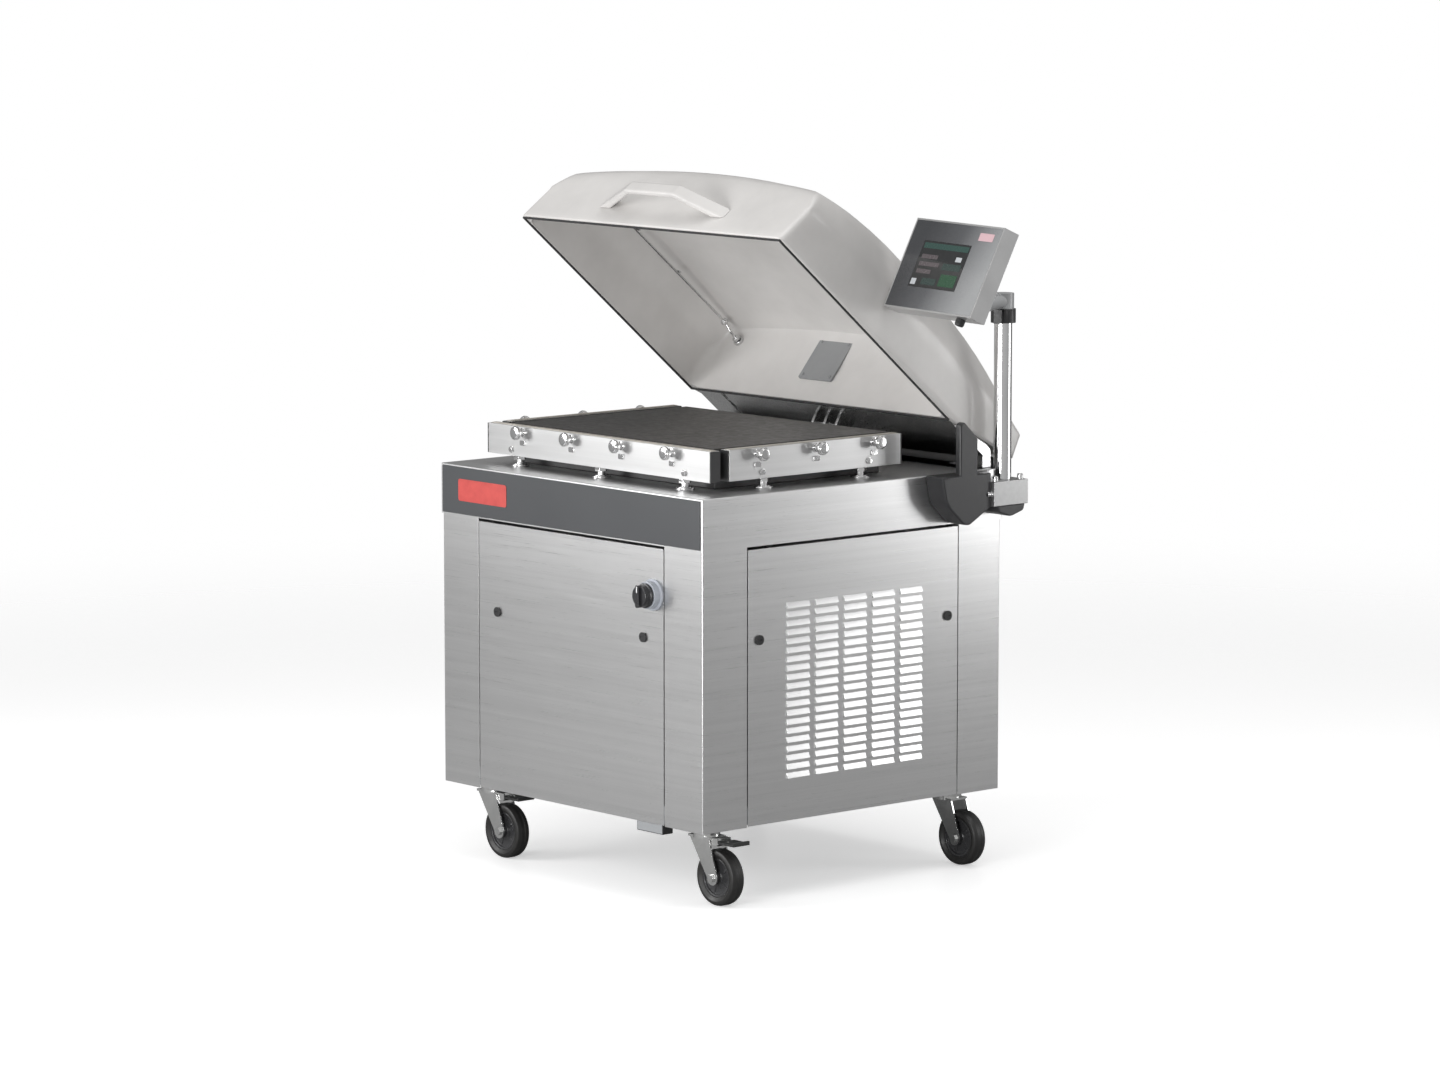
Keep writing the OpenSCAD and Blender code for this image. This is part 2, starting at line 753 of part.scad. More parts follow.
cover_w = 58;
module hinge_cover() {
    out = half_w + band_over;
    y0 = block_front - 149;
    top = table_z + 1;
    fin_y = y0 + 54;
    color("black") on_floor() {
        translate([out + cover_w/2, 0, 0]) across(cover_w)
            polygon(rounded([[y0, top, 3], [block_front, top, 0], [block_front, top - 77, 14],
                [y0 + 84, band_z + 2, 16], [y0 + 66, band_z + 4, 20], [y0 + 14, top - 64, 60]]));
        translate([out + cover_w - 9, 0, 0]) across(18)
            polygon(rounded([[fin_y, top - 1, 0], [fin_y, top + 114, 8],
                [fin_y + 12, top + 120, 8], [fin_y + 54, top + 80, 14], [fin_y + 54, top - 1, 0]]));
    }
}

module column_block() {
    color("silver") on_floor() difference() {
        block([half_w + band_over, block_front, table_z - 75], [column_x + 34, column_y + 48, table_z - 20]);
        translate([column_x, column_y, table_z - 70]) cylinder(r = column_r + fit_gap, h = 60);
    }
}

module column_foot() {
    color("black") on_floor() translate([half_w + band_over + 32, 0, 0]) across(62)
        polygon(rounded([[column_y - 40, table_z - 75, 0], [column_y + 44, table_z - 75, 0],
            [column_y + 40, table_z - 90, 10], [column_y, table_z - 102, 30],
            [column_y - 36, table_z - 90, 10]]));
}

module column_tube() {
    color("silver") on_floor() translate([column_x, column_y, table_z - 70])
        cylinder(r = column_r, h = column_h + 70);
}

// ---- Touch panel ----

clamp_r = column_r + 8;
clamp_low = table_z + column_h - 28;
clamp_top = table_z + column_h + 3;
module arm_clamp() {
    color("black") on_floor() translate([column_x, column_y, 0]) difference() {
        union() {
            translate([0, 0, clamp_low]) cylinder(r = clamp_r, h = clamp_top - clamp_low);
            rotate([0, 0, arm_turn])
                block([-9, -clamp_r - 12, clamp_low], [9, -clamp_r + 10, clamp_top]);
        }
        translate([0, 0, clamp_low - 1])
            cylinder(r = column_r + run_gap, h = table_z + column_h + body_gap + 1 - clamp_low);
    }
}

hub_h = arm_z + 18 - clamp_top;
hub_outer_r = 24;
arm_r = 15;
knuckle_r = 16;
module swing_arm() {
    color("gray") on_floor() difference() {
        union() {
            translate([column_x, column_y, clamp_top]) cylinder(r = hub_outer_r, h = hub_h);
            translate([column_x, column_y, arm_z]) rotate([0, 0, arm_turn])
                rotate([90, 0, 0]) cylinder(r = arm_r, h = arm_len - knuckle_r - 5);
            at_pivot() {
                rod_x(knuckle_r, 30);
                rotate([0, 0, arm_turn + panel_turn]) rod_from_knuckle();
            }
        }
        at_pivot() rod_x(5 + run_gap, 40);
    }
}
// Solid neck from the arm's end into the knuckle
module rod_from_knuckle() {
    translate([0, knuckle_r + 6, 0]) rod_y(10, 24);
}

module at_pivot() {
    translate([pivot_x, pivot_y, arm_z]) rotate([0, 0, -panel_turn]) children();
}
module on_panel() {
    on_floor() at_pivot() rotate([-panel_tilt, 0, 0]) children();
}

lug_t = 14;
frame_lip = 4;
front_t = 3;
module panel_housing() {
    low = [-panel_w/2, -panel_ahead, panel_up - panel_h/2];
    high = [panel_w/2, -panel_ahead + panel_d, panel_up + panel_h/2];
    lug_y = -panel_ahead + panel_d;
    color("silver") on_panel() {
        difference() {
            union() {
                block(low, high);
                translate([15 + body_gap + lug_t/2, 0, 0]) {
                    rod_x(knuckle_r, lug_t);
                    block([-lug_t/2, lug_y - 1, -knuckle_r], [lug_t/2, 0, knuckle_r]);
                }
            }
            block(low + [3, front_t, 3], high - [3, 3, 3]);
            block(low + [frame_lip, -1, frame_lip], high - [frame_lip, panel_d - front_t - 1, frame_lip]);
        }
        translate([(lug_t + body_gap)/2, 0, 0]) rod_x(5, 30 + lug_t + body_gap + 6);
    }
}

module panel_front() {
    low = [-panel_w/2 + frame_lip, -panel_ahead, panel_up - panel_h/2 + frame_lip];
    high = [panel_w/2 - frame_lip, -panel_ahead + front_t, panel_up + panel_h/2 - frame_lip];
    color("dimgray") on_panel() difference() {
        block(low, high);
        block([screen_x - screen_w/2, -panel_ahead - 1, screen_z - screen_h/2],
              [screen_x + screen_w/2, -panel_ahead + front_t + 1, screen_z + screen_h/2]);
    }
}

screen_x = -18;
screen_z = panel_up + 2;
module touch_screen() {
    color("black") on_panel()
        block([screen_x - screen_w/2, -panel_ahead + 0.5, screen_z - screen_h/2],
              [screen_x + screen_w/2, -panel_ahead + front_t + 2, screen_z + screen_h/2]);
}

// ---- Switch, locks and gland ----

switch_at = [switch_x, -half_d, skirt_z + switch_z];
module main_switch_base() {
    color("gray") on_floor() translate(switch_at) rotate([90, 0, 0]) difference() {
        union() {
            cylinder(r = switch_r, h = 6);
            cylinder(r = switch_r - 5, h = switch_base_h);
            translate([0, 0, -20]) cylinder(r = switch_hole_r - fit_gap, h = 25);
        }
        translate([0, 0, switch_base_h - 8]) cylinder(r = 6 + run_gap, h = 10);
    }
}

module main_switch_knob() {
    z0 = switch_base_h + body_gap;
    color("black") on_floor() translate(switch_at) rotate([90, 0, 0]) {
        translate([0, 0, switch_base_h - 7]) cylinder(r = 6, h = 9);
        translate([0, 0, z0]) cylinder(r = switch_r - 8, h = 8);
        translate([-8, -switch_r + 10, z0 + 6]) cube([16, 2*switch_r - 20, switch_knob_h - 6 - body_gap]);
    }
}

// Quarter-turn lock at the origin, its face towards -Y and its tongue along +X
module panel_lock() {
    barrel = lock_r - 2 - run_gap;
    rotate([90, 0, 0]) {
        difference() {
            translate([0, 0, body_gap]) cylinder(r = lock_r, h = 4);
            translate([-6, -1.5, 2.5]) cube([12, 3, 5]);
        }
        translate([0, 0, -keeper_back - 6]) cylinder(r = barrel, h = keeper_back + 7);
    }
    translate([-7, keeper_back + body_gap, -8]) cube([tongue_l + 7, 4, 16]);
}
module at_front_lock(s) {
    on_floor() translate([s*front_lock_x, -half_d, lock_height]) children();
}
module front_lock_left() { color("black") at_front_lock(-1) mirror([1, 0, 0]) panel_lock(); }
module front_lock_right() { color("black") at_front_lock(1) panel_lock(); }
module side_lock_front() {
    color("black") on_floor() rotate([0, 0, 90])
        translate([-side_lock_y, -half_w, lock_height]) mirror([1, 0, 0]) panel_lock();
}
module side_lock_rear() {
    color("black") on_floor() rotate([0, 0, 90])
        translate([side_lock_y, -half_w, lock_height]) panel_lock();
}

// Cable entry through the rear panel
cable_r = 4;
module cable_gland() {
    color("black") on_floor() translate([-gland_x, half_d, gland_z]) rotate([-90, 0, 0]) difference() {
        union() {
            cylinder(r = 14, h = 8, $fn = 6);
            cylinder(r = 11, h = 22);
            translate([0, 0, -16]) cylinder(r = gland_r - fit_gap, h = 20);
        }
        translate([0, 0, -20]) cylinder(r = cable_r, h = 50);
    }
}

// ---- Inside the cabinet ----

// Pump: oil case, motor with its fan cowl, two feet and an inlet port on top
pump_x = 90;
pump_y = 40;
pump_r = 105;
pump_l = 300;
pump_z = base_top + 20 + pump_r;
motor_r = 80;
motor_l = 262;
cowl_l = 20;
foot_x = 110;
foot_w = 50;
foot_y = 150;
inlet_y = pump_y - 30;
inlet_r = 34;
inlet_z = pump_z + pump_r + 50;
module vacuum_pump() {
    motor_x = pump_x - pump_l/2 - motor_l/2 + 1;
    cowl_x = pump_x - pump_l/2 - motor_l + cowl_l/2 + 2;
    color("steelblue") on_floor() {
        translate([pump_x, pump_y, pump_z]) rod_x(pump_r, pump_l);
        translate([motor_x, pump_y, pump_z]) rod_x(motor_r, motor_l);
        translate([cowl_x, pump_y, pump_z]) rod_x(motor_r + 6, cowl_l);
        for (x = [-foot_x, foot_x])
            block([pump_x + x - foot_w/2, pump_y - foot_y, base_top],
                  [pump_x + x + foot_w/2, pump_y + foot_y, base_top + 40]);
        translate([pump_x, inlet_y, pump_z + 60]) cylinder(r = inlet_r, h = inlet_z - pump_z - 60);
        translate([pump_x, pump_y + outlet_l/2, pump_z]) rod_y(outlet_r, outlet_l);
    }
}

outlet_r = 20;
outlet_l = pump_r + 14;
filter_r = 60;
filter_h = 340;
filter_cap_h = 14;
filter_neck = 8;
module exhaust_filter() {
    y = pump_y + outlet_l + filter_neck + filter_r;
    z = base_z + sheet;
    color("gray") on_floor() {
        translate([pump_x, y, z]) cylinder(r = filter_r, h = filter_h);
        translate([pump_x, y, z + filter_h]) cylinder(r = filter_r - 12, h = filter_cap_h);
        translate([pump_x, y - (filter_r + filter_neck)/2, pump_z])
            rod_y(outlet_r, filter_r + filter_neck);
    }
}

// Hose from the pump's inlet up to a flat duct, which ends in a stub at the
// port under the work platform
hose_r = 30;
hose_bore = 24;
duct_z = table_z - 120;
duct_h = 50;
duct_half = 34;
duct_wall = 6;
stub_z = duct_z + duct_h;
module suction_hose() {
    port_y = side_bar_mid - inlet_y;
    inside = duct_half - duct_wall;
    color("black") on_floor() translate([0, inlet_y, 0]) {
        translate([pump_x, 0, inlet_z]) difference() {
            cylinder(r = hose_r, h = duct_z - inlet_z);
            translate([0, 0, -1]) cylinder(r = hose_bore, h = duct_z - inlet_z + 2);
        }
        difference() {
            block([-duct_half, port_y - duct_half, duct_z], [pump_x + duct_half, duct_half, stub_z]);
            block([-inside, port_y - inside, duct_z + duct_wall],
                  [pump_x + inside, inside, stub_z - duct_wall]);
            translate([pump_x, 0, duct_z - 1]) cylinder(r = hose_bore, h = duct_wall + 2);
            translate([0, port_y, stub_z - duct_wall - 1]) cylinder(r = port_r, h = duct_wall + 2);
        }
        translate([0, port_y, stub_z]) difference() {
            cylinder(r = port_r + 8, h = table_under - stub_z);
            translate([0, 0, -1]) cylinder(r = port_r, h = table_under - stub_z + 2);
        }
    }
}

control_size = [160, 300, 380];
control_wall = [3, 3, 3];
module control_box() {
    low = [-half_w + 60, -half_d + 90, base_top];
    high = low + control_size;
    color("lightgray") on_floor() difference() {
        block(low, high);
        block(low + control_wall, high - control_wall);
    }
}

// ---- Casters ----

race_z = base_z - 8;
race_r = 30;
kingpin_r = 6;
plate_half = [50, 42];
function caster_x(s) = s*(half_w - caster_inset);
function caster_y(s) = s*(half_d - caster_inset);

module caster_plates() {
    color("silver") on_floor() for (sx = [-1, 1], sy = [-1, 1])
        translate([caster_x(sx), caster_y(sy), 0]) difference() {
            union() {
                block([-plate_half.x, -plate_half.y, base_z - 4], [plate_half.x, plate_half.y, base_z]);
                translate([0, 0, race_z]) cylinder(r = race_r, h = 6);
            }
            translate([0, 0, race_z - 1]) cylinder(r = kingpin_r + run_gap, h = 12);
        }
}

crown_z = race_z - 22;
leg_in = wheel_w/2 + 3;
leg_t = 3.5;
ear_r = 16;
ear_z = wheel_r*2 + 12;
ear_x = trail + 8;
ear_pin_r = 3;
module fork() {
    leg = [[-30, crown_z + 4], [34, crown_z + 4], [trail + 15, wheel_r + 6], [trail - 14, wheel_r - 4]];
    color("silver") {
        block([-34, -leg_in - leg_t, crown_z], [36, leg_in + leg_t, crown_z + 5]);
        for (s = [-1, 1]) translate([0, s*(leg_in + leg_t/2), 0]) deep(-leg_t/2, leg_t) {
            polygon(leg);
            translate([trail, wheel_r]) circle(r = ear_r);
        }
        translate([0, 0, crown_z]) cylinder(r = race_r, h = race_z - body_gap - crown_z);
        translate([0, 0, crown_z]) cylinder(r = kingpin_r, h = base_z - 0.5 - crown_z);
        translate([trail, 0, wheel_r]) {
            rod_y(axle_r, 2*leg_in + 2*leg_t + 1);
            for (s = [-1, 1]) translate([0, s*(leg_in + leg_t + 2.5), 0]) rotate([90, 0, 0])
                translate([0, 0, -2.5]) cylinder(r = 9, h = 5, $fn = 6);
        }
    }
}

// Ears and pin that carry the brake pedal
module pedal_ears() {
    color("silver") {
        for (s = [-1, 1]) translate([0, s*(leg_in - 3), 0]) deep(-1.5, 3) {
            polygon([[20, crown_z + 4], [20, crown_z - 2], [ear_x - 5, ear_z - 4], [ear_x + 5, ear_z],
                [ear_x + 5, crown_z + 4]]);
        }
        translate([ear_x, 0, ear_z + 2]) rod_y(ear_pin_r, 2*leg_in - 3);
    }
}

module wheel() {
    rim_r = wheel_r - 19;
    hub_w = 2*leg_in - 2*body_gap;
    translate([trail, 0, wheel_r]) {
        color("black") rotate([90, 0, 0]) rotate_extrude()
            polygon(rounded([[rim_r, -wheel_w/2 + 2, 0], [wheel_r, -wheel_w/2, 9], [wheel_r, wheel_w/2, 9],
                [rim_r, wheel_w/2 - 2, 0]]));
        color("dimgray") rotate([90, 0, 0]) difference() {
            union() {
                rotate_extrude() polygon([[axle_r + run_gap, -8], [rim_r - 0.2, -12],
                    [rim_r - 0.2, 12], [axle_r + run_gap, 8]]);
                translate([0, 0, -hub_w/2]) cylinder(r = 14, h = hub_w);
            }
            translate([0, 0, -hub_w]) cylinder(r = axle_r + run_gap, h = 2*hub_w);
        }
    }
}

module brake_pedal() {
    half = leg_in - 5 - body_gap;
    tip = ear_x + 62;
    z = ear_z + 2;
    color("dimgray") difference() {
        union() {
            translate([ear_x, 0, z]) rod_y(6, 2*half);
            block([ear_x, -half, z + 1], [ear_x + 12, half, z + 6]);
            block([ear_x + 10, -half - 8, z + 1], [tip, half + 8, z + 6]);
            block([tip - 6, -half - 8, z + 1], [tip, half + 8, z + 10]);
        }
        translate([ear_x, 0, z]) rod_y(ear_pin_r + run_gap, 2*half + 2);
    }
}

module at_caster(sx, sy) {
    on_floor() translate([caster_x(sx), caster_y(sy), 0]) children();
}
module fork_front_left() { at_caster(-1, -1) { fork(); pedal_ears(); } }
module fork_front_right() { at_caster(1, -1) { fork(); pedal_ears(); } }
module fork_rear_left() { at_caster(-1, 1) fork(); }
module fork_rear_right() { at_caster(1, 1) fork(); }
module wheel_front_left() { at_caster(-1, -1) wheel(); }
module wheel_front_right() { at_caster(1, -1) wheel(); }
module wheel_rear_left() { at_caster(-1, 1) wheel(); }
module wheel_rear_right() { at_caster(1, 1) wheel(); }
module brake_pedal_left() { at_caster(-1, -1) brake_pedal(); }
module brake_pedal_right() { at_caster(1, -1) brake_pedal(); }

base_frame();
corner_posts();
front_panel();
right_panel();
left_panel();
rear_panel();
table_top();
front_fascia();
platform_base();
filler_plate();
lift_cylinders();
hinge_bearings();
hinge_cover();
column_block();
column_foot();
column_tube();
main_switch_base();
main_switch_knob();
cable_gland();
vacuum_pump();
exhaust_filter();
suction_hose();
control_box();
caster_plates();
front_lock_left();
front_lock_right();
side_lock_front();
side_lock_rear();
seal_bar_front();
seal_bar_left();
seal_bar_right();
heater_strip_front();
heater_strip_left();
heater_strip_right();
bar_fittings_front();
bar_fittings_left();
bar_fittings_right();
lid_shell();
lid_gasket();
lid_handle();
lid_vent_plate();
lid_pipe();
hinge_arms();
hinge_shaft();
lid_lock_bracket();
arm_clamp();
swing_arm();
panel_housing();
panel_front();
touch_screen();
fork_front_left();
fork_front_right();
fork_rear_left();
fork_rear_right();
wheel_front_left();
wheel_front_right();
wheel_rear_left();
wheel_rear_right();
brake_pedal_left();
brake_pedal_right();
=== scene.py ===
"""Looks of a floor-standing chamber vacuum packing machine on casters, built
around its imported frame: brushed stainless cabinet, painted lid standing open on
its rear hinge, three sealing bars round a dark filler plate, and a touch panel
on a swing arm. Everything is in metres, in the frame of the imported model."""

import json
import math

import bmesh
import bpy
from mathutils import Matrix, Vector


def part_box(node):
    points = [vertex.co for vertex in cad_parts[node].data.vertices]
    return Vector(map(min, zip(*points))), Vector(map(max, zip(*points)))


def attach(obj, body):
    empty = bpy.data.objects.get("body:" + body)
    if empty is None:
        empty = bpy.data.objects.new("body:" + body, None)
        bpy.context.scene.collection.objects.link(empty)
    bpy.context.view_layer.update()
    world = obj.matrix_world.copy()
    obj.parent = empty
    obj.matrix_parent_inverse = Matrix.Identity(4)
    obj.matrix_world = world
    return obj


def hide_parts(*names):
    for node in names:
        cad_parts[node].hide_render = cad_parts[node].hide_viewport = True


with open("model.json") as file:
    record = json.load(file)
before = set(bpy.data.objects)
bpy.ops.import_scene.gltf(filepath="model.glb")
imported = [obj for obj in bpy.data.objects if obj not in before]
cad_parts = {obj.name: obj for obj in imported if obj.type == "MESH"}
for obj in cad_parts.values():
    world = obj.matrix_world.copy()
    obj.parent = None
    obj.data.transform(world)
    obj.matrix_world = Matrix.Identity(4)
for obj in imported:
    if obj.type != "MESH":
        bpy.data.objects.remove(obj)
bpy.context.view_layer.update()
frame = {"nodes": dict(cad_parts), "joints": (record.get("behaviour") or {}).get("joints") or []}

# ---- Camera, studio and floor ----
# A long lens looks down a little on the machine's front right corner. The
# studio is white, with large soft boxes and a pale floor that fades into it.

posts_low, posts_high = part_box("corner_posts")
MIDDLE = Vector(((posts_low.x + posts_high.x)/2, (posts_low.y + posts_high.y)/2, 0))
HALF_WIDTH = (posts_high.x - posts_low.x)/2
HALF_DEPTH = (posts_high.y - posts_low.y)/2

camera_azimuth = math.radians(49.038)
camera_rise = math.radians(7.559)
camera_distance = 12.697
camera_aim = MIDDLE + Vector((-0.0008, -0.0009, 0.7294))
lens_mm = 140.53
sensor_mm = 36

away = Vector((
    math.sin(camera_azimuth)*math.cos(camera_rise),
    -math.cos(camera_azimuth)*math.cos(camera_rise),
    math.sin(camera_rise)))
camera = bpy.data.objects.new("camera", bpy.data.cameras.new("camera"))
camera.data.lens = lens_mm
camera.data.sensor_width = sensor_mm
camera.data.clip_end = 200
camera.location = camera_aim + camera_distance*away
camera.rotation_euler = away.to_track_quat("Z", "Y").to_euler()
bpy.context.scene.collection.objects.link(camera)
bpy.context.scene.camera = camera
bpy.context.scene.view_settings.view_transform = "Standard"


class Wire:
    """A shader socket: arithmetic on it adds Math nodes, node() adds any other."""

    def __init__(self, tree, socket=None):
        self.tree = tree
        self.socket = socket

    def node(self, kind, settings=None, sockets=None, out=0):
        made = self.tree.nodes.new("ShaderNode" + kind)
        for name, value in (settings or {}).items():
            if name == "stops":
                self.set_stops(made.color_ramp, value)
            else:
                setattr(made, name, value)
        for name, value in (sockets or {}).items():
            if isinstance(value, Wire):
                self.tree.links.new(value.socket, made.inputs[name])
            else:
                made.inputs[name].default_value = value
        return Wire(self.tree, made.outputs[out] if len(made.outputs) else None)

    @staticmethod
    def set_stops(ramp, stops):
        """stops is a list of (place, grey or colour)."""
        while len(ramp.elements) < len(stops):
            ramp.elements.new(1)
        for element, (place, tone) in zip(ramp.elements, stops):
            element.position = place
            element.color = (tone, tone, tone, 1) if isinstance(tone, (int, float)) else (*tone, 1)

    def math(self, operation, *values):
        return self.node("Math", {"operation": operation}, dict(enumerate(values)))

    def __add__(self, other):
        return self.math("ADD", self, other)

    def __mul__(self, other):
        return self.math("MULTIPLY", self, other)

    __radd__ = __add__
    __rmul__ = __mul__

    def stretched(self, *factors):
        """This vector with each of its parts scaled."""
        return self.node("VectorMath", {"operation": "MULTIPLY"}, {0: self, 1: factors})

    def noise(self, scale, detail=2, rough=0.5):
        """Noise from 0 to 1 over this vector."""
        return self.node("TexNoise", {}, {
            "Vector": self, "Scale": scale, "Detail": detail, "Roughness": rough})

    def ramp(self, *stops):
        return self.node("ValToRGB", {"stops": stops}, {"Fac": self})

    def blend(self, first, second):
        """first where this mask is 0, second where it is 1, both colours."""
        return self.node("Mix", {"data_type": "RGBA"}, {
            0: self, 6: solid(first), 7: solid(second)}, out=2)

    def bump(self, height, strength=0.3):
        """A bumped normal, height being the metres that a value of 1 stands proud."""
        return self.node("Bump", {}, {"Height": self, "Distance": height, "Strength": strength})


def solid(colour):
    """A colour as the four numbers that a socket takes; a wire stays as it is."""
    return colour if isinstance(colour, Wire) else (*colour, 1)


def finish(name, base, rough, metal=0.0, normal=None, **fixed):
    """A material from a Principled shader. base, rough and normal may be
    functions of a Wire at the surface's own place; fixed values go straight
    on the shader's sockets, with _ for the spaces in their names."""
    made = bpy.data.materials.new(name)
    made.use_nodes = True
    tree = made.node_tree
    shader = tree.nodes["Principled BSDF"]
    place = Wire(tree).node("TexCoord", out=3)

    def put(socket, value):
        value = value(place) if callable(value) else value
        if isinstance(value, Wire):
            tree.links.new(value.socket, shader.inputs[socket])
        elif value is not None:
            shader.inputs[socket].default_value = solid(value) if isinstance(value, tuple) else value

    put("Base Color", base)
    put("Roughness", rough)
    put("Metallic", metal)
    put("Normal", normal)
    for words, value in fixed.items():
        put(words.replace("_", " "), value)
    return made


brighter_way = (0.62, -0.78, 0)
bright_swing, bright_middle = 0.35, 0.75


def studio():
    """White to the camera; to everything else a grey room, a little lighter
    overhead and brighter towards the front left."""
    world = bpy.data.worlds.new("studio")
    world.use_nodes = True
    tree = world.node_tree
    tree.nodes.clear()
    start = Wire(tree)
    look = start.node("TexCoord", out=0)
    height = start.node("SeparateXYZ", {}, {0: look}, out=2)
    ceiling = height.ramp((0.0, 0.45), (0.1, 0.5), (0.3, 0.5), (0.75, 0.6))
    leftward = look.node("VectorMath", {"operation": "DOT_PRODUCT"}, {
        0: look, 1: brighter_way}, out=1)
    reflected = ceiling*(leftward*bright_swing + bright_middle)
    seen = start.node("LightPath", out=0)
    tone = seen.blend(reflected, (1, 1, 1))
    shine = start.node("Background", {}, {"Color": tone, "Strength": 1.0})
    start.node("OutputWorld", {}, {"Surface": shine})
    return world


bpy.context.scene.world = studio()


def soft_box(name, place, aim, width, height, watts):
    """A rectangular area light at place, facing aim, both from the middle."""
    lamp = bpy.data.lights.new(name, "AREA")
    lamp.shape = "RECTANGLE"
    lamp.size = width
    lamp.size_y = height
    lamp.energy = watts
    box = bpy.data.objects.new(name, lamp)
    box.location = MIDDLE + Vector(place)
    box.rotation_euler = (Vector(place) - Vector(aim)).to_track_quat("Z", "Y").to_euler()
    bpy.context.scene.collection.objects.link(box)


soft_box("key_box", (-1.5, -2.7, 1.45), (0.1, -0.4, 0.65), 1.5, 1.4, 48)
soft_box("top_box", (0.8, 0.5, 4.3), (0, 0, 0.9), 3.2, 2.8, 60)
soft_box("rear_box", (2.3, 2.6, 1.05), (0.4, 0.4, 0.5), 1.0, 1.3, 18)
soft_box("chamber_box", (1.2, -2.9, 0.75), (0, 0.1, 1.3), 1.6, 0.7, 52)


fade_start, fade_end = 2.2, 6
floor_glow = 0.44
floor_reach = 30


def floor_material():
    """Pale and slightly glossy to the camera, a dull grey to what it lights, and
    clear at a distance so that it has no far edge."""
    made = bpy.data.materials.new("studio_floor")
    made.use_nodes = True
    tree = made.node_tree
    shader = tree.nodes["Principled BSDF"]
    place = Wire(tree).node("TexCoord", out=3)
    far = place.node("VectorMath", {"operation": "LENGTH"}, {0: place}, out=1)
    fade = far.node("MapRange", {"interpolation_type": "SMOOTHSTEP"}, {
        "Value": far, "From Min": fade_start, "From Max": fade_end})
    shader.inputs["Base Color"].default_value = (0.93, 0.93, 0.93, 1)
    shader.inputs["Emission Color"].default_value = (1, 1, 1, 1)
    shader.inputs["Emission Strength"].default_value = floor_glow
    shader.inputs["Roughness"].default_value = 0.3
    shader.inputs["Specular IOR Level"].default_value = 0.35
    dull = place.node("BsdfDiffuse", {}, {"Color": (0.33, 0.33, 0.33, 1)})
    seen = place.node("LightPath", out=0)
    near_floor = place.node("MixShader", {}, {0: seen, 1: dull, 2: Wire(tree, shader.outputs[0])})
    clear = place.node("BsdfTransparent")
    both = place.node("MixShader", {}, {0: fade, 1: near_floor, 2: clear})
    tree.links.new(both.socket, tree.nodes["Material Output"].inputs["Surface"])
    return made


floor_mesh = bpy.data.meshes.new("studio_floor")
floor_corners = [(sx*floor_reach, sy*floor_reach, 0) for sx, sy in ((-1, -1), (1, -1), (1, 1), (-1, 1))]
floor_mesh.from_pydata(floor_corners, [], [(0, 1, 2, 3)])
floor_mesh.materials.append(floor_material())
floor = bpy.data.objects.new("studio_floor", floor_mesh)
bpy.context.scene.collection.objects.link(floor)

# ---- Cabinet sheet: corner posts, service panels and table top ----
# Folded 2 mm stainless sheet with a fine horizontal grain. The posts and the
# table are welded to the base frame; the panels lift off once their quarter-turn
# locks are opened. The folds have a small outer radius.

sheet_edge = 0.0007
fold_radius = 0.003
post_near, band_near = 0.001, 0.0005    # how near to a corner still counts as on it
SMOOTH_BELOW = math.radians(32)
weld_within = 2e-5
flat_within = math.radians(0.6)
shortest_fold = 0.05


def show(name, mesh, body, material, stands_for=()):
    """Links a mesh as a piece of the machine that rides on a body."""
    made = bpy.data.objects.new(name, mesh)
    bpy.context.scene.collection.objects.link(made)
    mesh.materials.clear()
    mesh.materials.append(material)
    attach(made, body)
    if stands_for:
        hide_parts(*stands_for)
    return made


def mesh_from(shape, name):
    """A mesh from a bmesh, which is freed."""
    mesh = bpy.data.meshes.new(name)
    shape.to_mesh(mesh)
    shape.free()
    return mesh


def with_broken_edges(shape, name, width, segments=2, clamp=True):
    """A mesh from a bmesh, its sharp edges rounded to width."""
    mesh = mesh_from(shape, name)
    mesh.shade_smooth()
    work = bpy.data.objects.new("work", mesh)
    bpy.context.scene.collection.objects.link(work)
    bevel = work.modifiers.new("edge", "BEVEL")
    bevel.width = width
    bevel.segments = segments
    bevel.limit_method = "ANGLE"
    bevel.angle_limit = SMOOTH_BELOW
    bevel.use_clamp_overlap = clamp
    even = work.modifiers.new("even", "WEIGHTED_NORMAL")
    even.weight = 80
    bpy.context.view_layer.update()
    graph = bpy.context.evaluated_depsgraph_get()
    made = bpy.data.meshes.new_from_object(work.evaluated_get(graph))
    made.name = name
    bpy.data.objects.remove(work)
    return made


def packed_shape(node):
    """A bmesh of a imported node, its triangles joined into flat faces."""
    shape = bmesh.new()
    shape.from_mesh(frame["nodes"][node].data)
    bmesh.ops.remove_doubles(shape, verts=shape.verts, dist=weld_within)
    bmesh.ops.dissolve_limit(shape, angle_limit=flat_within, verts=shape.verts, edges=shape.edges)
    return shape


def round_folds(shape, corner):
    """Rounds the edges whose middle the corner test picks, as a folded sheet is."""
    folds = [edge for edge in shape.edges
             if edge.calc_length() > shortest_fold and corner((edge.verts[0].co + edge.verts[1].co)/2)]
    bmesh.ops.bevel(shape, geom=folds, offset=fold_radius, segments=4, profile=0.5,
                    affect="EDGES", clamp_overlap=True)
    return shape


def finely(node, body, material, width, segments=2, shape=None, clamp=True):
    """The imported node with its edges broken, in place of the node."""
    mesh = with_broken_edges(shape or packed_shape(node), node, width, segments, clamp)
    return show(node + "_finished", mesh, body, material, [node])


def second_finish(piece, material, picks):
    """Gives the faces that picks(centre, normal) chooses another material."""
    piece.data.materials.append(material)
    for face in piece.data.polygons:
        if picks(face.center, face.normal):
            face.material_index = len(piece.data.materials) - 1


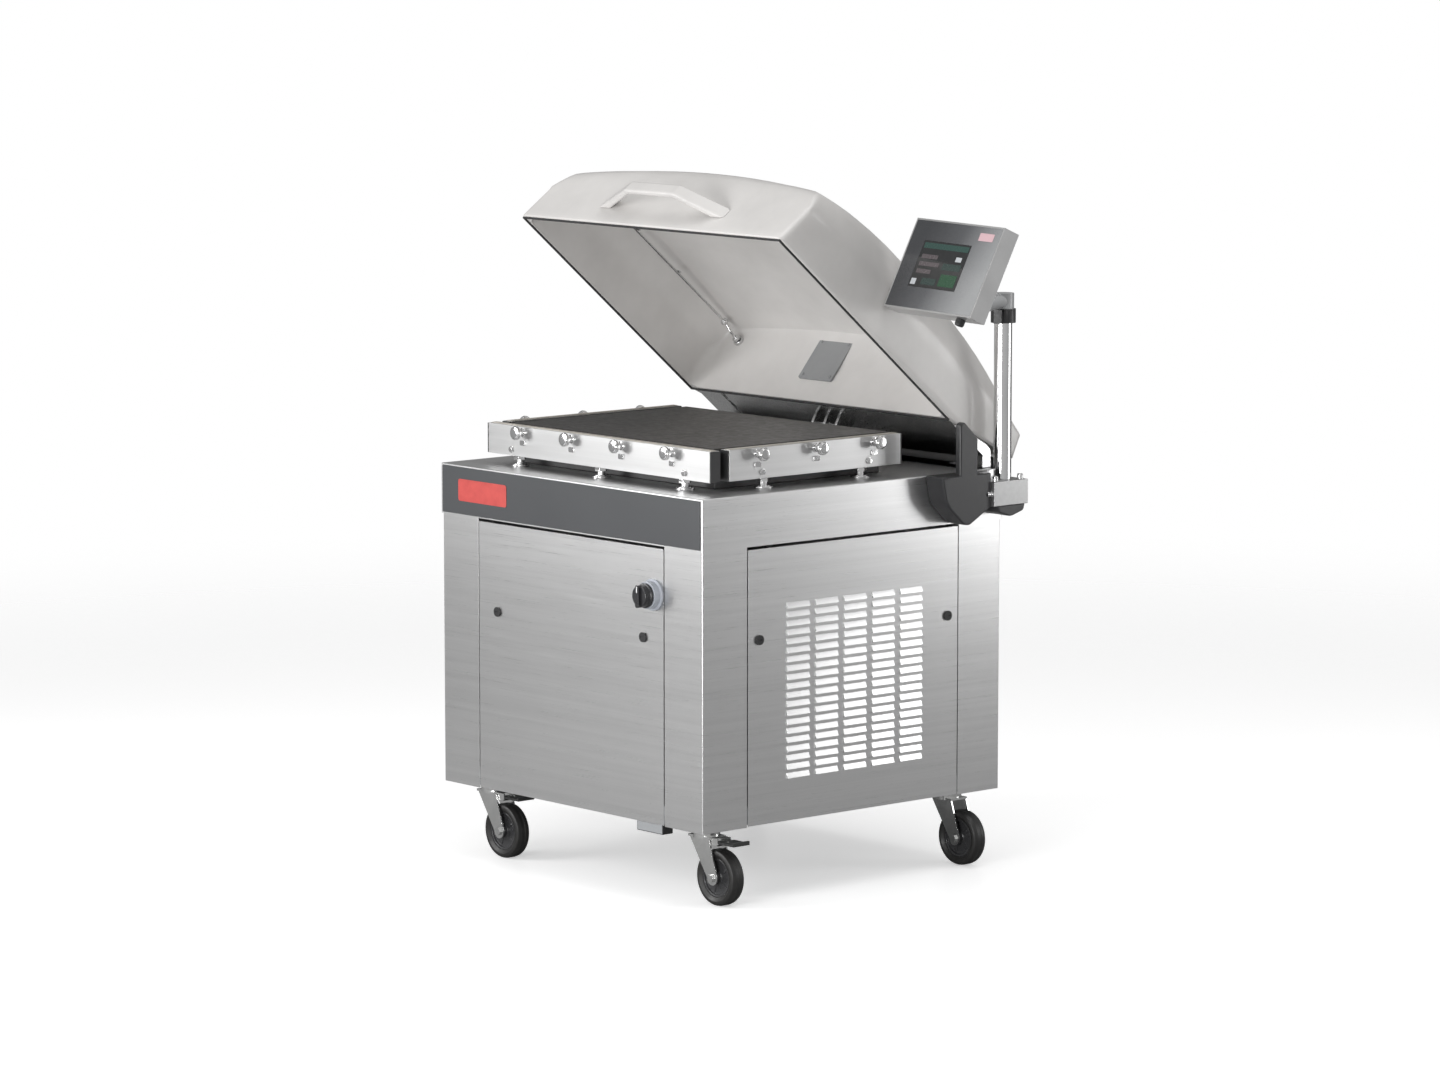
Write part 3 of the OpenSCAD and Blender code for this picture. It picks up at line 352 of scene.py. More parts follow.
def brushed(name, tone, rough, along, depth=0.00002):
    """Brushed stainless whose grain runs the way in which along is small."""
    def streaks(place):
        return place.stretched(*along).noise(1, 4, 0.7)

    def broad(place):
        return place.stretched(*(part*0.1 for part in along)).noise(1, 3, 0.6)

    return finish(
        name,
        lambda place: broad(place).ramp((0.3, tone*0.95), (0.7, tone*1.03)),
        lambda place: streaks(place).ramp((0.25, rough*0.85), (0.75, rough*1.18)),
        metal=1.0,
        normal=lambda place: streaks(place).bump(depth, 0.4))


grain, across_grain = 6, 900
sheet_steel = brushed("brushed_sheet", 0.74, 0.3, (grain, grain, across_grain))
table_steel = brushed("brushed_table", 0.7, 0.36, (grain, across_grain, across_grain))

for node in ("front_panel", "rear_panel", "left_panel", "right_panel"):
    finely(node, "cabinet", sheet_steel, sheet_edge)

band_low, band_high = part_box("table_top")


def at_post_corner(point):
    offset = point - MIDDLE
    return (abs(abs(offset.x) - HALF_WIDTH) < post_near
            and abs(abs(offset.y) - HALF_DEPTH) < post_near)


def at_table_edge(point):
    beside = min(abs(point.x - band_low.x), abs(point.x - band_high.x)) < band_near
    ahead = min(abs(point.y - band_low.y), abs(point.y - band_high.y)) < band_near
    above = abs(point.z - band_high.z) < band_near
    return beside + ahead + above >= 2


finely("corner_posts", "cabinet", sheet_steel, sheet_edge,
       shape=round_folds(packed_shape("corner_posts"), at_post_corner))
table = finely("table_top", "cabinet", sheet_steel, sheet_edge,
               shape=round_folds(packed_shape("table_top"), at_table_edge))
second_finish(table, table_steel, lambda centre, normal: abs(normal.z) > 0.7)

# A low stainless strip along the table's back edge closes the gap under the lid's tail.
guard_side, guard_in, guard_thick, guard_high = 0.44, 0.0045, 0.002, 0.024
guard_sunk = 0.0004
guard_at = Vector((MIDDLE.x, band_high.y - guard_in, band_high.z + guard_high/2 - guard_sunk))
guard_mesh = bmesh.new()
bmesh.ops.create_cube(guard_mesh, size=1)
bmesh.ops.scale(guard_mesh, vec=(guard_side*2, guard_thick, guard_high), verts=guard_mesh.verts)
bmesh.ops.translate(guard_mesh, vec=guard_at, verts=guard_mesh.verts)
show("rear_guard", with_broken_edges(guard_mesh, "rear_guard", 0.0006), "cabinet", sheet_steel)

# ---- Base frame and what the cabinet holds ----
# Square tube under a shallow tray, welded and coated grey; its towing hook is black
# but for the front face, which is one with the frame's. On the tray stand the
# vacuum pump, its exhaust filter and the control box; a hose rises to the table.


def enamel(name, tone, rough, peel=0.00006, size=380, coat=0.0, metal=0.0):
    """Sprayed or powder-coated paint with a faint orange peel."""
    return finish(
        name,
        lambda place: place.noise(7, 4, 0.6).ramp(
            (0.3, tuple(part*0.93 for part in tone)), (0.7, tuple(part*1.04 for part in tone))),
        lambda place: place.noise(size/6, 3).ramp((0.3, rough*0.88), (0.7, rough*1.12)),
        metal=metal,
        normal=lambda place: place.noise(size, 2).bump(peel, 0.35),
        Coat_Weight=coat, Coat_Roughness=0.15)


def recoat(node, material):
    """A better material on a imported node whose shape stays."""
    for holder in frame["nodes"][node].material_slots:
        holder.material = material


frame_coat = enamel("frame_coat", (0.3, 0.31, 0.32), 0.45)
pump_enamel = enamel("pump_enamel", (0.16, 0.22, 0.31), 0.35, peel=0.0002, size=160)
box_enamel = enamel("box_enamel", (0.42, 0.42, 0.42), 0.5)
hose_rubber = enamel("hose_rubber", (0.025, 0.025, 0.026), 0.6, peel=0.0002, size=250)
black_moulding = enamel("black_moulding", (0.02, 0.02, 0.021), 0.42, peel=0.00008, size=600)

base = finely("base_frame", "cabinet", frame_coat, 0.002)
hook_below = posts_low.z + 0.004
second_finish(base, black_moulding, lambda centre, normal: centre.z < hook_below)
recoat("vacuum_pump", pump_enamel)
recoat("exhaust_filter", box_enamel)
recoat("suction_hose", hose_rubber)
recoat("control_box", box_enamel)
finely("cable_gland", "cabinet", black_moulding, 0.0008)

# ---- Fascia and badge ----
# A dark satin strip bonded to the front of the table's band, with a small blank
# red badge at its left end.

fascia_coat = finish(
    "fascia_coat",
    lambda place: place.noise(3, 3).ramp((0.3, (0.046, 0.048, 0.052)), (0.7, (0.056, 0.059, 0.063))),
    lambda place: place.noise(900, 2).ramp((0.3, 0.34), (0.7, 0.42)),
    normal=lambda place: place.noise(1600, 2).bump(0.00001, 0.3))
badge_red = finish(
    "badge_red",
    lambda place: place.noise(40, 3).ramp((0.3, (0.46, 0.055, 0.05)), (0.7, (0.55, 0.075, 0.065))),
    lambda place: place.noise(500, 2).ramp((0.3, 0.28), (0.7, 0.36)),
    Coat_Weight=0.4)
finely("front_fascia", "cabinet", fascia_coat, 0.0008)


def walled(shape, low, high):
    """Joins two rings of as many vertices with a wall of faces."""
    for k in range(len(low)):
        m = (k + 1) % len(low)
        shape.faces.new((low[k], low[m], high[m], high[k]))


def rounded_plate(centre, across, up, width, height, thick, radius, arc=5):
    """A bmesh of a plate with round corners, its back on centre, across and up
    being its two directions."""
    shape = bmesh.new()
    out = across.cross(up)
    rim = []
    for sx, sy, start in ((1, 1, 0), (-1, 1, 90), (-1, -1, 180), (1, -1, 270)):
        for step in range(arc + 1):
            turn = math.radians(start + 90*step/arc)
            rim.append(centre + across*(sx*(width/2 - radius) + radius*math.cos(turn))
                       + up*(sy*(height/2 - radius) + radius*math.sin(turn)))
    low = [shape.verts.new(point) for point in rim]
    high = [shape.verts.new(point + out*thick) for point in rim]
    shape.faces.new(high)
    shape.faces.new(low[::-1])
    walled(shape, low, high)
    return shape


RIGHT, BACK, UP = Vector((1, 0, 0)), Vector((0, 1, 0)), Vector((0, 0, 1))
fascia_low, fascia_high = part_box("front_fascia")
badge_w, badge_h, badge_t = 0.172, 0.05, 0.0012
badge_in, badge_up, badge_corner = 0.145, 0.002, 0.006
badge_at = Vector((fascia_low.x + badge_in, fascia_low.y, (fascia_low.z + fascia_high.z)/2 + badge_up))
badge = rounded_plate(badge_at, RIGHT, UP, badge_w, badge_h, badge_t, badge_corner)
show("blank_badge", with_broken_edges(badge, "blank_badge", 0.0003), "cabinet", badge_red)

# ---- Panel locks and main switch ----
# Black quarter-turn locks close the service panels. The main switch has a grey
# moulded collar screwed to the front panel and a round black knob, which has a
# bar to grip and a white pointer.

for lock, body in (("front_lock_left", "lock_front_left"), ("front_lock_right", "lock_front_right"),
                   ("side_lock_front", "lock_side_front"), ("side_lock_rear", "lock_side_rear")):
    finely(lock, body, black_moulding, 0.0007)

collar_grey = enamel("collar_grey", (0.36, 0.38, 0.42), 0.38, peel=0.00004, size=700)
knob_black = enamel("knob_black", (0.016, 0.016, 0.018), 0.3, peel=0.00004, size=700, coat=0.3)
finely("main_switch_base", "cabinet", collar_grey, 0.0012, 3)


def turned(profile, steps=48):
    """A closed bmesh turned round Z from an outline of (radius, height) pairs
    that starts and ends on the axis."""
    shape = bmesh.new()
    rings = []
    for radius, height in profile:
        if radius < 1e-6:
            rings.append([shape.verts.new((0, 0, height))])
        else:
            rings.append([shape.verts.new((radius*math.cos(math.tau*i/steps),
                                           radius*math.sin(math.tau*i/steps), height))
                          for i in range(steps)])
    for low, high in zip(rings, rings[1:]):
        for i in range(steps):
            j = (i + 1) % steps
            corners = [low[i % len(low)], low[j % len(low)], high[j % len(high)], high[i % len(high)]]
            kept = [c for k, c in enumerate(corners) if c is not corners[k - 1]]
            shape.faces.new(kept)
    bmesh.ops.recalc_face_normals(shape, faces=shape.faces)
    return shape


def facing(direction, at):
    """The matrix that lays a turned shape's Z along direction, at a point."""
    return Matrix.Translation(at) @ direction.to_track_quat("Z", "Y").to_matrix().to_4x4()


def joined(shapes):
    """One bmesh from several (bmesh, matrix) pairs."""
    whole = bmesh.new()
    for shape, matrix in shapes:
        part = bpy.data.meshes.new("part")
        shape.transform(matrix)
        shape.to_mesh(part)
        shape.free()
        whole.from_mesh(part)
        bpy.data.meshes.remove(part)
    return whole


knob_low, knob_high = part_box("main_switch_knob")
knob_gap = 0.0004
grip_start, grip_sunk, grip_w, grip_l, grip_corner = 0.004, 0.0045, 0.012, 0.05, 0.0055
pointer_w, pointer_l, pointer_t, pointer_out, pointer_corner = 0.003, 0.014, 0.0006, 0.015, 0.0012
knob_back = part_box("main_switch_base")[0].y - knob_gap
knob_at = Vector(((knob_low.x + knob_high.x)/2, knob_back, (knob_low.z + knob_high.z)/2))
knob_deep = knob_back - knob_low.y
knob_profile = [(0, 0), (0.0262, 0), (0.0272, 0.001), (0.0272, 0.0055), (0.0262, 0.0065), (0.0245, 0.0068),
                (0.0235, 0.0185), (0.0222, 0.02), (0, 0.02)]
grip = rounded_plate(UP*grip_start, RIGHT, BACK, grip_w, grip_l, knob_deep - grip_sunk, grip_corner, 4)
pointer = rounded_plate(Vector((0, pointer_out, knob_deep - pointer_t)), RIGHT, BACK,
                        pointer_w, pointer_l, pointer_t, pointer_corner, 3)
knob_parts = [(turned(knob_profile), facing(-BACK, knob_at)), (grip, facing(-BACK, knob_at))]
show("switch_knob_grip", with_broken_edges(joined(knob_parts), "switch_knob_grip", 0.0012, 3),
     "switch_knob", knob_black, ["main_switch_knob"])
pointer_white = enamel("pointer_white", (0.7, 0.7, 0.7), 0.4, peel=0.00002, size=900)
pointer_mesh = with_broken_edges(joined([(pointer, facing(-BACK, knob_at))]), "switch_pointer", 0.0002)
show("switch_pointer", pointer_mesh, "switch_knob", pointer_white)

# ---- Work platform ----
# A black moulded tray carries the loose filler plate, a dark matt board that
# pouches lie on. Steel air cylinders in the table lift the three sealing bars.

board_black = finish(
    "board_black",
    lambda place: place.noise(9, 5, 0.65).ramp((0.3, (0.036, 0.033, 0.031)), (0.7, (0.05, 0.046, 0.043))),
    lambda place: place.noise(60, 4, 0.7).ramp((0.3, 0.34), (0.7, 0.5)),
    normal=lambda place: place.noise(1300, 2).bump(0.00004, 0.35),
    Specular_IOR_Level=0.55)
machined = brushed("machined_steel", 0.62, 0.26, (420, 420, 420), depth=0.000015)
polished = finish(
    "polished_steel",
    lambda place: place.noise(20, 3).ramp((0.3, 0.76), (0.7, 0.82)),
    lambda place: place.noise(150, 4, 0.7).ramp((0.3, 0.06), (0.7, 0.14)),
    metal=1.0,
    normal=lambda place: place.stretched(120, 120, 2400).noise(1, 2).bump(0.000004, 0.3))
finely("platform_base", "cabinet", black_moulding, 0.002)
finely("filler_plate", "cabinet", board_black, 0.0018, 3)
finely("lift_cylinders", "cabinet", machined, 0.0006)

# ---- Sealing bars ----
# Brushed stainless channels with black end caps, a pale non-stick tape over the
# heating wire on top, steel lift rods beneath, sprung pouch clips and small
# hexagon bolts on the outer face.

bar_steel = brushed("bar_steel_x", 0.6, 0.34, (grain, across_grain, across_grain), 0.000006)
bar_steel_side = brushed("bar_steel_y", 0.56, 0.34, (across_grain, grain, across_grain), 0.000006)
tape_pale = finish(
    "tape_pale",
    lambda place: place.noise(30, 3).ramp((0.3, (0.46, 0.43, 0.38)), (0.7, (0.54, 0.51, 0.46))),
    lambda place: place.noise(700, 2).ramp((0.3, 0.4), (0.7, 0.55)),
    normal=lambda place: (place.node("TexWave", {"bands_direction": "X"}, {"Vector": place, "Scale": 180})
                          + place.node("TexWave", {"bands_direction": "Y"},
                                       {"Vector": place, "Scale": 180})).bump(0.00005, 0.3))
cap_length = 0.00396
clip_pitch = 0.172
clip_rise = 0.82     # of the bar's height
bolt_rise = 0.014
rod_radius, rod_chamfer = 0.009, 0.001
nut_height = 0.0085
hook_w, hook_l, hook_t, hook_drop = 0.018, 0.012, 0.003, 0.024
clip_profile = [(0, 0), (0.0105, 0), (0.0105, 0.0022), (0.0098, 0.003), (0.0062, 0.0032), (0.0062, 0.0165),
                (0.0118, 0.0168), (0.0146, 0.0178), (0.0152, 0.0196), (0.0152, 0.0246), (0.0144, 0.0262),
                (0.0122, 0.0268), (0.0116, 0.0284), (0.0098, 0.029), (0, 0.0287)]
bolt_profile = [(0, 0), (0.0082, 0), (0.0082, 0.0012), (0.0066, 0.0013), (0.0066, 0.0046), (0.0058, 0.0052),
                (0, 0.0052)]


def bar_fittings(side, outward, along, clips, bolt_reach, rods):
    """Clips and bolts on a bar's outer face, and the lift rods under it."""
    low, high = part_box("seal_bar_" + side)
    middle = (low + high)/2
    face = middle + outward*abs((high - low).dot(outward))/2
    fittings_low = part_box("bar_fittings_" + side)[0]
    parts = []
    for i in range(clips):
        shift = (i - (clips - 1)/2)*clip_pitch
        at = Vector((face.x, face.y, low.z + clip_rise*(high.z - low.z))) + along*shift
        parts.append((turned(clip_profile, 32), facing(outward, at)))
        hook = rounded_plate(Vector((0, 0, 0)), RIGHT, UP, hook_w, hook_l, hook_t, hook_t, 3)
        parts.append((hook, facing(outward, at - UP*hook_drop) @ Matrix.Rotation(-math.pi/2, 4, "X")))
    for sign in (-1, 1):
        at = Vector((face.x, face.y, low.z + bolt_rise)) + along*sign*bolt_reach
        parts.append((turned(bolt_profile, 6), facing(outward, at)))
    rod_length = low.z - fittings_low.z
    for shift in rods:
        at = Vector((middle.x, middle.y, fittings_low.z)) + along*shift
        rod = [(0, 0), (rod_radius - rod_chamfer, 0), (rod_radius, rod_chamfer), (rod_radius, rod_length),
               (0, rod_length)]
        parts.append((turned(rod, 32), Matrix.Translation(at)))
        nut = [(0, 0), (0.0145, 0), (0.0145, 0.0075), (0.0125, nut_height), (0, nut_height)]
        parts.append((turned(nut, 6), Matrix.Translation(at + UP*(rod_length - nut_height))))
    mesh = with_broken_edges(joined(parts), "bar_fittings_" + side, 0.0004, 2)
    show("bar_fittings_" + side + "_finished", mesh, side + "_bar", polished,
         ["bar_fittings_" + side])


for side in ("front", "left", "right"):
    steel = bar_steel if side == "front" else bar_steel_side
    low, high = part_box("seal_bar_" + side)
    axis = 0 if side == "front" else 1
    bar = finely("seal_bar_" + side, side + "_bar", steel, 0.0014, 3)
    second_finish(bar, black_moulding, lambda centre, normal: (
        min(centre[axis] - low[axis], high[axis] - centre[axis]) < cap_length))
    finely("heater_strip_" + side, side + "_bar", tape_pale, 0.0004)
front_rod_pitch, side_rod_pitch = 0.285, 0.286
bolt_beside_rod = 0.014
bar_fittings("front", -BACK, RIGHT, 4, front_rod_pitch + bolt_beside_rod,
             (-front_rod_pitch, 0, front_rod_pitch))
for side, outward in (("right", RIGHT), ("left", -RIGHT)):
    bar_fittings(side, outward, BACK, 3, side_rod_pitch/2 + bolt_beside_rod,
                 (-side_rod_pitch/2, side_rod_pitch/2))

# ---- Lid ----
# One light alloy casting with a crowned top, a front wall that leans back and
# soft shoulders along both sides, sprayed warm light grey. The chamber is hollow
# down to a flat rim; a tail behind it reaches over the hinge arms.

lid_hinge = next(joint for joint in frame["joints"] if joint["name"] == "lid_hinge")
lid_open = math.radians(lid_hinge["range_deg"][1])
rim_depth = 0.673
hinge_behind_rim = 0.18
rim_over_hinge = 0.023
lid_half = HALF_WIDTH - 0.005
lid_wall = 0.012
rim_round = 0.005
lid_sharp_above = math.radians(42)
front_slope = 178/46       # rise of the front wall for each step back
rear_slope = 3.7           # rise of the tail's end wall
tail_end = 0.885           # of the lid, behind the front of its rim
tail_low = 0.048
shoulder_rise = 0.094      # where the upright side turns into the shoulder
shoulder_in = 0.032        # how far in from the side the shoulder ends
flat_run = 0.413           # from the middle to the shoulder's top
top_lift = 0.004           # of the crown above TOP_LINE
side_lift = 0.009          # of the shoulder's top above the crown's side
side_lip, lip_run = 0.013, 0.0012   # the soft step from the side into the shoulder
lean_by_wall = 1.03        # how much of a wall the leaning front takes at the rim
crown_min, crown_more, crown_front = 0.115, 0.075, 0.3
ceiling_slope = 14         # rise of the chamber's rear wall near its ceiling
front_blend, side_blend, ceiling_blend, tail_blend = 0.045, 0.03, 0.05, 0.024

LID = (Matrix.Translation(lid_hinge["pos_m"]) @ Matrix.Rotation(-lid_open, 4, "X")
       @ Matrix.Translation((0, -rim_depth - hinge_behind_rim, rim_over_hinge)))
TOP_LINE = [(-0.06, 0.168), (0.046, 0.189), (0.148, 0.206), (0.323, 0.2165), (0.592, 0.203),
            (0.765, 0.168), (0.865, 0.124), (0.95, 0.08)]
BACK_LINE = [(0, 0.673), (0.025, 0.767), (0.044, 0.868), (tail_low, tail_end), (0.122, 0.865)]


def through(points, x):
    """Height at x of the smooth curve through the points."""
    k = max([1] + [i for i in range(1, len(points) - 2) if points[i][0] <= x])
    (xa, ya), (xb, yb), (xc, yc), (xd, yd) = points[k - 1:k + 3]
    t = (x - xb)/(xc - xb)
    rise_b = (yc - ya)/(xc - xa)*(xc - xb)
    rise_c = (yd - yb)/(xd - xb)*(xc - xb)
    return ((2*t**3 - 3*t*t + 1)*yb + (t**3 - 2*t*t + t)*rise_b
            + (-2*t**3 + 3*t*t)*yc + (t**3 - t*t)*rise_c)


def along_line(points, x):
    """Height at x on the straight lines between the points."""
    for (xa, ya), (xb, yb) in zip(points, points[1:]):
        if x <= xb:
            return ya + (yb - ya)*(x - xa)/(xb - xa)
    return points[-1][1]


def eased(a, b, round_by):
    """The lesser of a and b, blended where they meet."""
    near_by = max(round_by - abs(a - b), 0)/round_by
    return min(a, b) - near_by*near_by*round_by/4


def roof(x, u, t):
    """Height of the lid's outside, or of its chamber's ceiling a wall t inside."""
    aside = max(lid_half - t - abs(x), 0)
    crown_fall = crown_min + crown_more*max(0, 1 - max(u, 0)/crown_front)**2
    line = through(TOP_LINE, u) + top_lift
    side_top = line*(1 - crown_fall) + side_lift
    rise = (side_top - shoulder_rise - side_lip)/shoulder_in
    shoulder = shoulder_rise + side_lip*(1 - math.exp(-aside/lip_run)) + rise*aside
    front = front_slope*(u - t*lean_by_wall)
    top = line*(1 - crown_fall*(abs(x)/flat_run)**2) - t
    if t:
        rear = shoulder_rise + (rim_depth - t - u)*ceiling_slope
    else:
        rear = tail_low + (tail_end - u)*rear_slope
    over = eased(eased(front, top, front_blend), rear, ceiling_blend if t else tail_blend)
    return eased(over, shoulder, side_blend)


edge_run, plan_half = 0.12, 0.44    # the finely stepped edge, and the half width that WIDE suits
edge_steps = [0, 0.0008, 0.002, 0.004, 0.007, 0.0105, 0.015, 0.021, 0.028, 0.036, 0.047, 0.062, 0.085,
              edge_run]
WIDE = edge_steps + [0.17, 0.22, 0.28, 0.34, 0.395]
LONG = edge_steps + [0.16, 0.21, 0.27, 0.33, 0.39]


def spread(low, high, steps):
    """Places from low to high, close together near both ends."""
    half = (high - low)/2
    scaled = [step if step <= edge_run else
              edge_run + (step - edge_run)*(half - edge_run)/(plan_half - edge_run) for step in steps]
    return [low + step for step in scaled] + [(low + high)/2] + [high - step for step in reversed(scaled)]


def dome(t, levels, corner):
    """A lid skin t inside the outer one: rings up its walls at each (height,
    inset) of levels, then the roof. Returns the bmesh and its lowest ring."""
    shape = bmesh.new()
    half = lid_half - t

    def corner_rounded(x, u, front, back):
        cx = half - corner
        for cu, toward in ((front + corner, -1), (back - corner, 1)):
            dx, du = abs(x) - cx, (u - cu)*toward
            if dx > 0 and du > 0:
                scale = max(dx, du)/math.hypot(dx, du)
                return math.copysign(cx + dx*scale, x), cu + toward*du*scale
        return x, u

    def plan(level, inset):
        front = level/front_slope + t*lean_by_wall + inset
        back = (rim_depth - t if t else along_line(BACK_LINE, level)) - inset
        grid = {}
        xs, us = spread(-half + inset, half - inset, WIDE), spread(front, back, LONG)
        for i, x in enumerate(xs):
            for j, u in enumerate(us):
                grid[i, j] = corner_rounded(x, u, front, back)
        return grid, len(xs), len(us)

    rings = []
    for level, inset in levels:
        grid, nx, nu = plan(level, inset)
        order = ([(i, 0) for i in range(nx)] + [(nx - 1, j) for j in range(1, nu)]
                 + [(i, nu - 1) for i in range(nx - 2, -1, -1)] + [(0, j) for j in range(nu - 2, 0, -1)])
        rings.append([shape.verts.new((*grid[key], level)) for key in order])
    for low, high in zip(rings, rings[1:]):
        walled(shape, low, high)
    verts = dict(zip(order, rings[-1]))
    for key, (x, u) in grid.items():
        if key not in verts:
            verts[key] = shape.verts.new((x, u, max(roof(x, u, t), levels[-1][0])))
    for i in range(nx - 1):
        for j in range(nu - 1):
            shape.faces.new((verts[i, j], verts[i + 1, j], verts[i + 1, j + 1], verts[i, j + 1]))
    return shape, rings[0]


rim_levels = [(rim_round*(1 - math.cos(math.radians(a))), rim_round*(1 - math.sin(math.radians(a))))
              for a in (0, 20, 42, 66, 90)]
outer_levels = [(level, 0) for level in (0.02, 0.034, tail_low - 0.004, tail_low, 0.06, 0.077, shoulder_rise)]
inner_levels = [(level, 0) for level in (0, 0.02, 0.05, 0.075, shoulder_rise)]
outer_corner, inner_corner = 0.013, 0.028
outer, outer_rim = dome(0, rim_levels + outer_levels, outer_corner)
inner, inner_rim = dome(lid_wall, inner_levels, inner_corner)
for skin in (outer, inner):
    skin.verts.index_update()
outer_index = [vert.index for vert in outer_rim]
inner_index = [vert.index + len(outer.verts) for vert in inner_rim]
bmesh.ops.reverse_faces(inner, faces=inner.faces)
lid_shape = joined([(outer, Matrix.Identity(4)), (inner, Matrix.Identity(4))])
lid_shape.verts.ensure_lookup_table()
walled(lid_shape, [lid_shape.verts[index] for index in inner_index],
       [lid_shape.verts[index] for index in outer_index])
bmesh.ops.recalc_face_normals(lid_shape, faces=lid_shape.faces)
solid_tail = mesh_from(lid_shape, "lid_casting")

# The tail's hollow, narrower above the shoulders. Each point is how far back and how high.
tail_pocket = bmesh.new()
pocket_line = [(rim_depth, 0.165), (0.753, 0.142), (0.835, 0.108), (0.862, 0.078), (0.871, 0.05)]
pocket_low, pocket_side, pocket_slant = -0.02, 0.084, 0.045
pocket_half = lid_half - lid_wall
sections = []
for u, v in pocket_line:
    side = min(v, pocket_side)
    outline = [(-pocket_half, pocket_low), (-pocket_half, side), (-pocket_half + pocket_slant, v),
               (pocket_half - pocket_slant, v), (pocket_half, side), (pocket_half, pocket_low)]
    sections.append([tail_pocket.verts.new((x, u, height)) for x, height in outline])
tail_pocket.faces.new(sections[0])
tail_pocket.faces.new(sections[-1][::-1])
for near_end, far_end in zip(sections, sections[1:]):
    walled(tail_pocket, far_end, near_end)
bmesh.ops.recalc_face_normals(tail_pocket, faces=tail_pocket.faces)


def cut(mesh, cutter):
    """The mesh with the cutter mesh taken out of it."""
    body = bpy.data.objects.new("cut_body", mesh)
    tool = bpy.data.objects.new("cut_tool", cutter)
    for obj in (body, tool):
        bpy.context.scene.collection.objects.link(obj)
    boolean = body.modifiers.new("cut", "BOOLEAN")
    boolean.operation = "DIFFERENCE"
    boolean.solver = "EXACT"
    boolean.object = tool
    bpy.context.view_layer.update()
    graph = bpy.context.evaluated_depsgraph_get()
    made = bpy.data.meshes.new_from_object(body.evaluated_get(graph))
    for obj in (body, tool):
        bpy.data.objects.remove(obj)
    return made


lid_mesh = cut(solid_tail, mesh_from(tail_pocket, "tail_pocket"))
lid_mesh.transform(LID)
lid_mesh.shade_smooth()
lid_mesh.set_sharp_from_angle(angle=lid_sharp_above)
lid_paint = enamel("lid_paint", (0.63, 0.615, 0.6), 0.36, peel=0.00005, size=420, coat=0.25)
show("lid_casting", lid_mesh, "lid", lid_paint, ["lid_shell"])

# ---- Lid fittings ----
# A cast bridge handle bolted through the front wall, a black seal in a groove
# under the rim, a grey baffle over the air port on the chamber's rear wall, and a
# thin steel tube with banjo fittings along the ceiling.

seal_rubber = enamel("seal_rubber", (0.03, 0.03, 0.031), 0.55, peel=0.00008, size=500)
baffle_grey = enamel("baffle_grey", (0.27, 0.275, 0.28), 0.5, peel=0.00006, size=500)
finely("lid_handle", "lid", lid_paint, 0.0055, 4, clamp=False)
seal_in, seal_wide, seal_deep, seal_groove = 0.005, 0.0036, 0.0042, 0.001
seal = bmesh.new()
loops = []
for inset, height in ((seal_in, seal_groove), (seal_in, -seal_deep), (seal_in + seal_wide, -seal_deep),
                      (seal_in + seal_wide, seal_groove)):
    half, front, rear = lid_half - inset, inset, rim_depth - inset
    loops.append([seal.verts.new(LID @ Vector(corner)) for corner in (
        (-half, front, height), (half, front, height), (half, rear, height), (-half, rear, height))])
for near_loop, far_loop in zip(loops, loops[1:] + loops[:1]):
    walled(seal, near_loop, far_loop)
bmesh.ops.recalc_face_normals(seal, faces=seal.faces)
show("lid_seal", with_broken_edges(seal, "lid_seal", 0.0008, 3), "lid", seal_rubber,
     ["lid_gasket"])
vent_across, vent_rise, vent_size, vent_thick = -0.042, 0.056, 0.112, 0.0055
vent_corner, screw_in = 0.004, 0.01
vent_at = Vector((vent_across, rim_depth - lid_wall, vent_rise + vent_size/2))
vent_parts = [(rounded_plate(vent_at, RIGHT, UP, vent_size, vent_size, vent_thick, vent_corner, 4), LID)]
screw_profile = [(0, 0), (0.0042, 0), (0.0042, 0.0012), (0.0034, 0.0022), (0.0014, 0.0024), (0.0012, 0.0012),
                 (0, 0.0012)]
for sx in (-1, 1):
    for sy in (-1, 1):
        screw_at = vent_at + Vector((sx, 0, sy))*(vent_size/2 - screw_in) - BACK*vent_thick
        vent_parts.append((turned(screw_profile, 24), LID @ facing(-BACK, screw_at)))
show("air_port_baffle", with_broken_edges(joined(vent_parts), "air_port_baffle", 0.0012, 3), "lid",
     baffle_grey, ["lid_vent_plate"])


def swept(path, radius, sides=12):
    """A closed bmesh of a round tube along a list of points."""
    shape = bmesh.new()
    rings = []
    across = None
    for i, point in enumerate(path):
        ahead = (path[min(i + 1, len(path) - 1)] - path[max(i - 1, 0)]).normalized()
        across = across or ahead.orthogonal()
        across = (across - ahead*across.dot(ahead)).normalized()
        over = ahead.cross(across)
        rings.append([shape.verts.new(point + radius*(math.cos(math.tau*k/sides)*across
                                                      + math.sin(math.tau*k/sides)*over))
                      for k in range(sides)])
    for low, high in zip(rings, rings[1:]):
        walled(shape, low, high)
    shape.faces.new(rings[0][::-1])
    shape.faces.new(rings[-1])
    return shape


def bent(corners, radius, arc=6):
    """Points along straight runs between corners, joined by round bends."""
    path = [corners[0]]
    for before, corner, after in zip(corners, corners[1:], corners[2:]):
        back, on = (before - corner).normalized(), (after - corner).normalized()
        start, end = corner + back*radius, corner + on*radius
        for step in range(arc + 1):
            t = step/arc
            path.append(start*(1 - t)**2 + corner*2*t*(1 - t) + end*t*t)
    path.append(corners[-1])
    return path


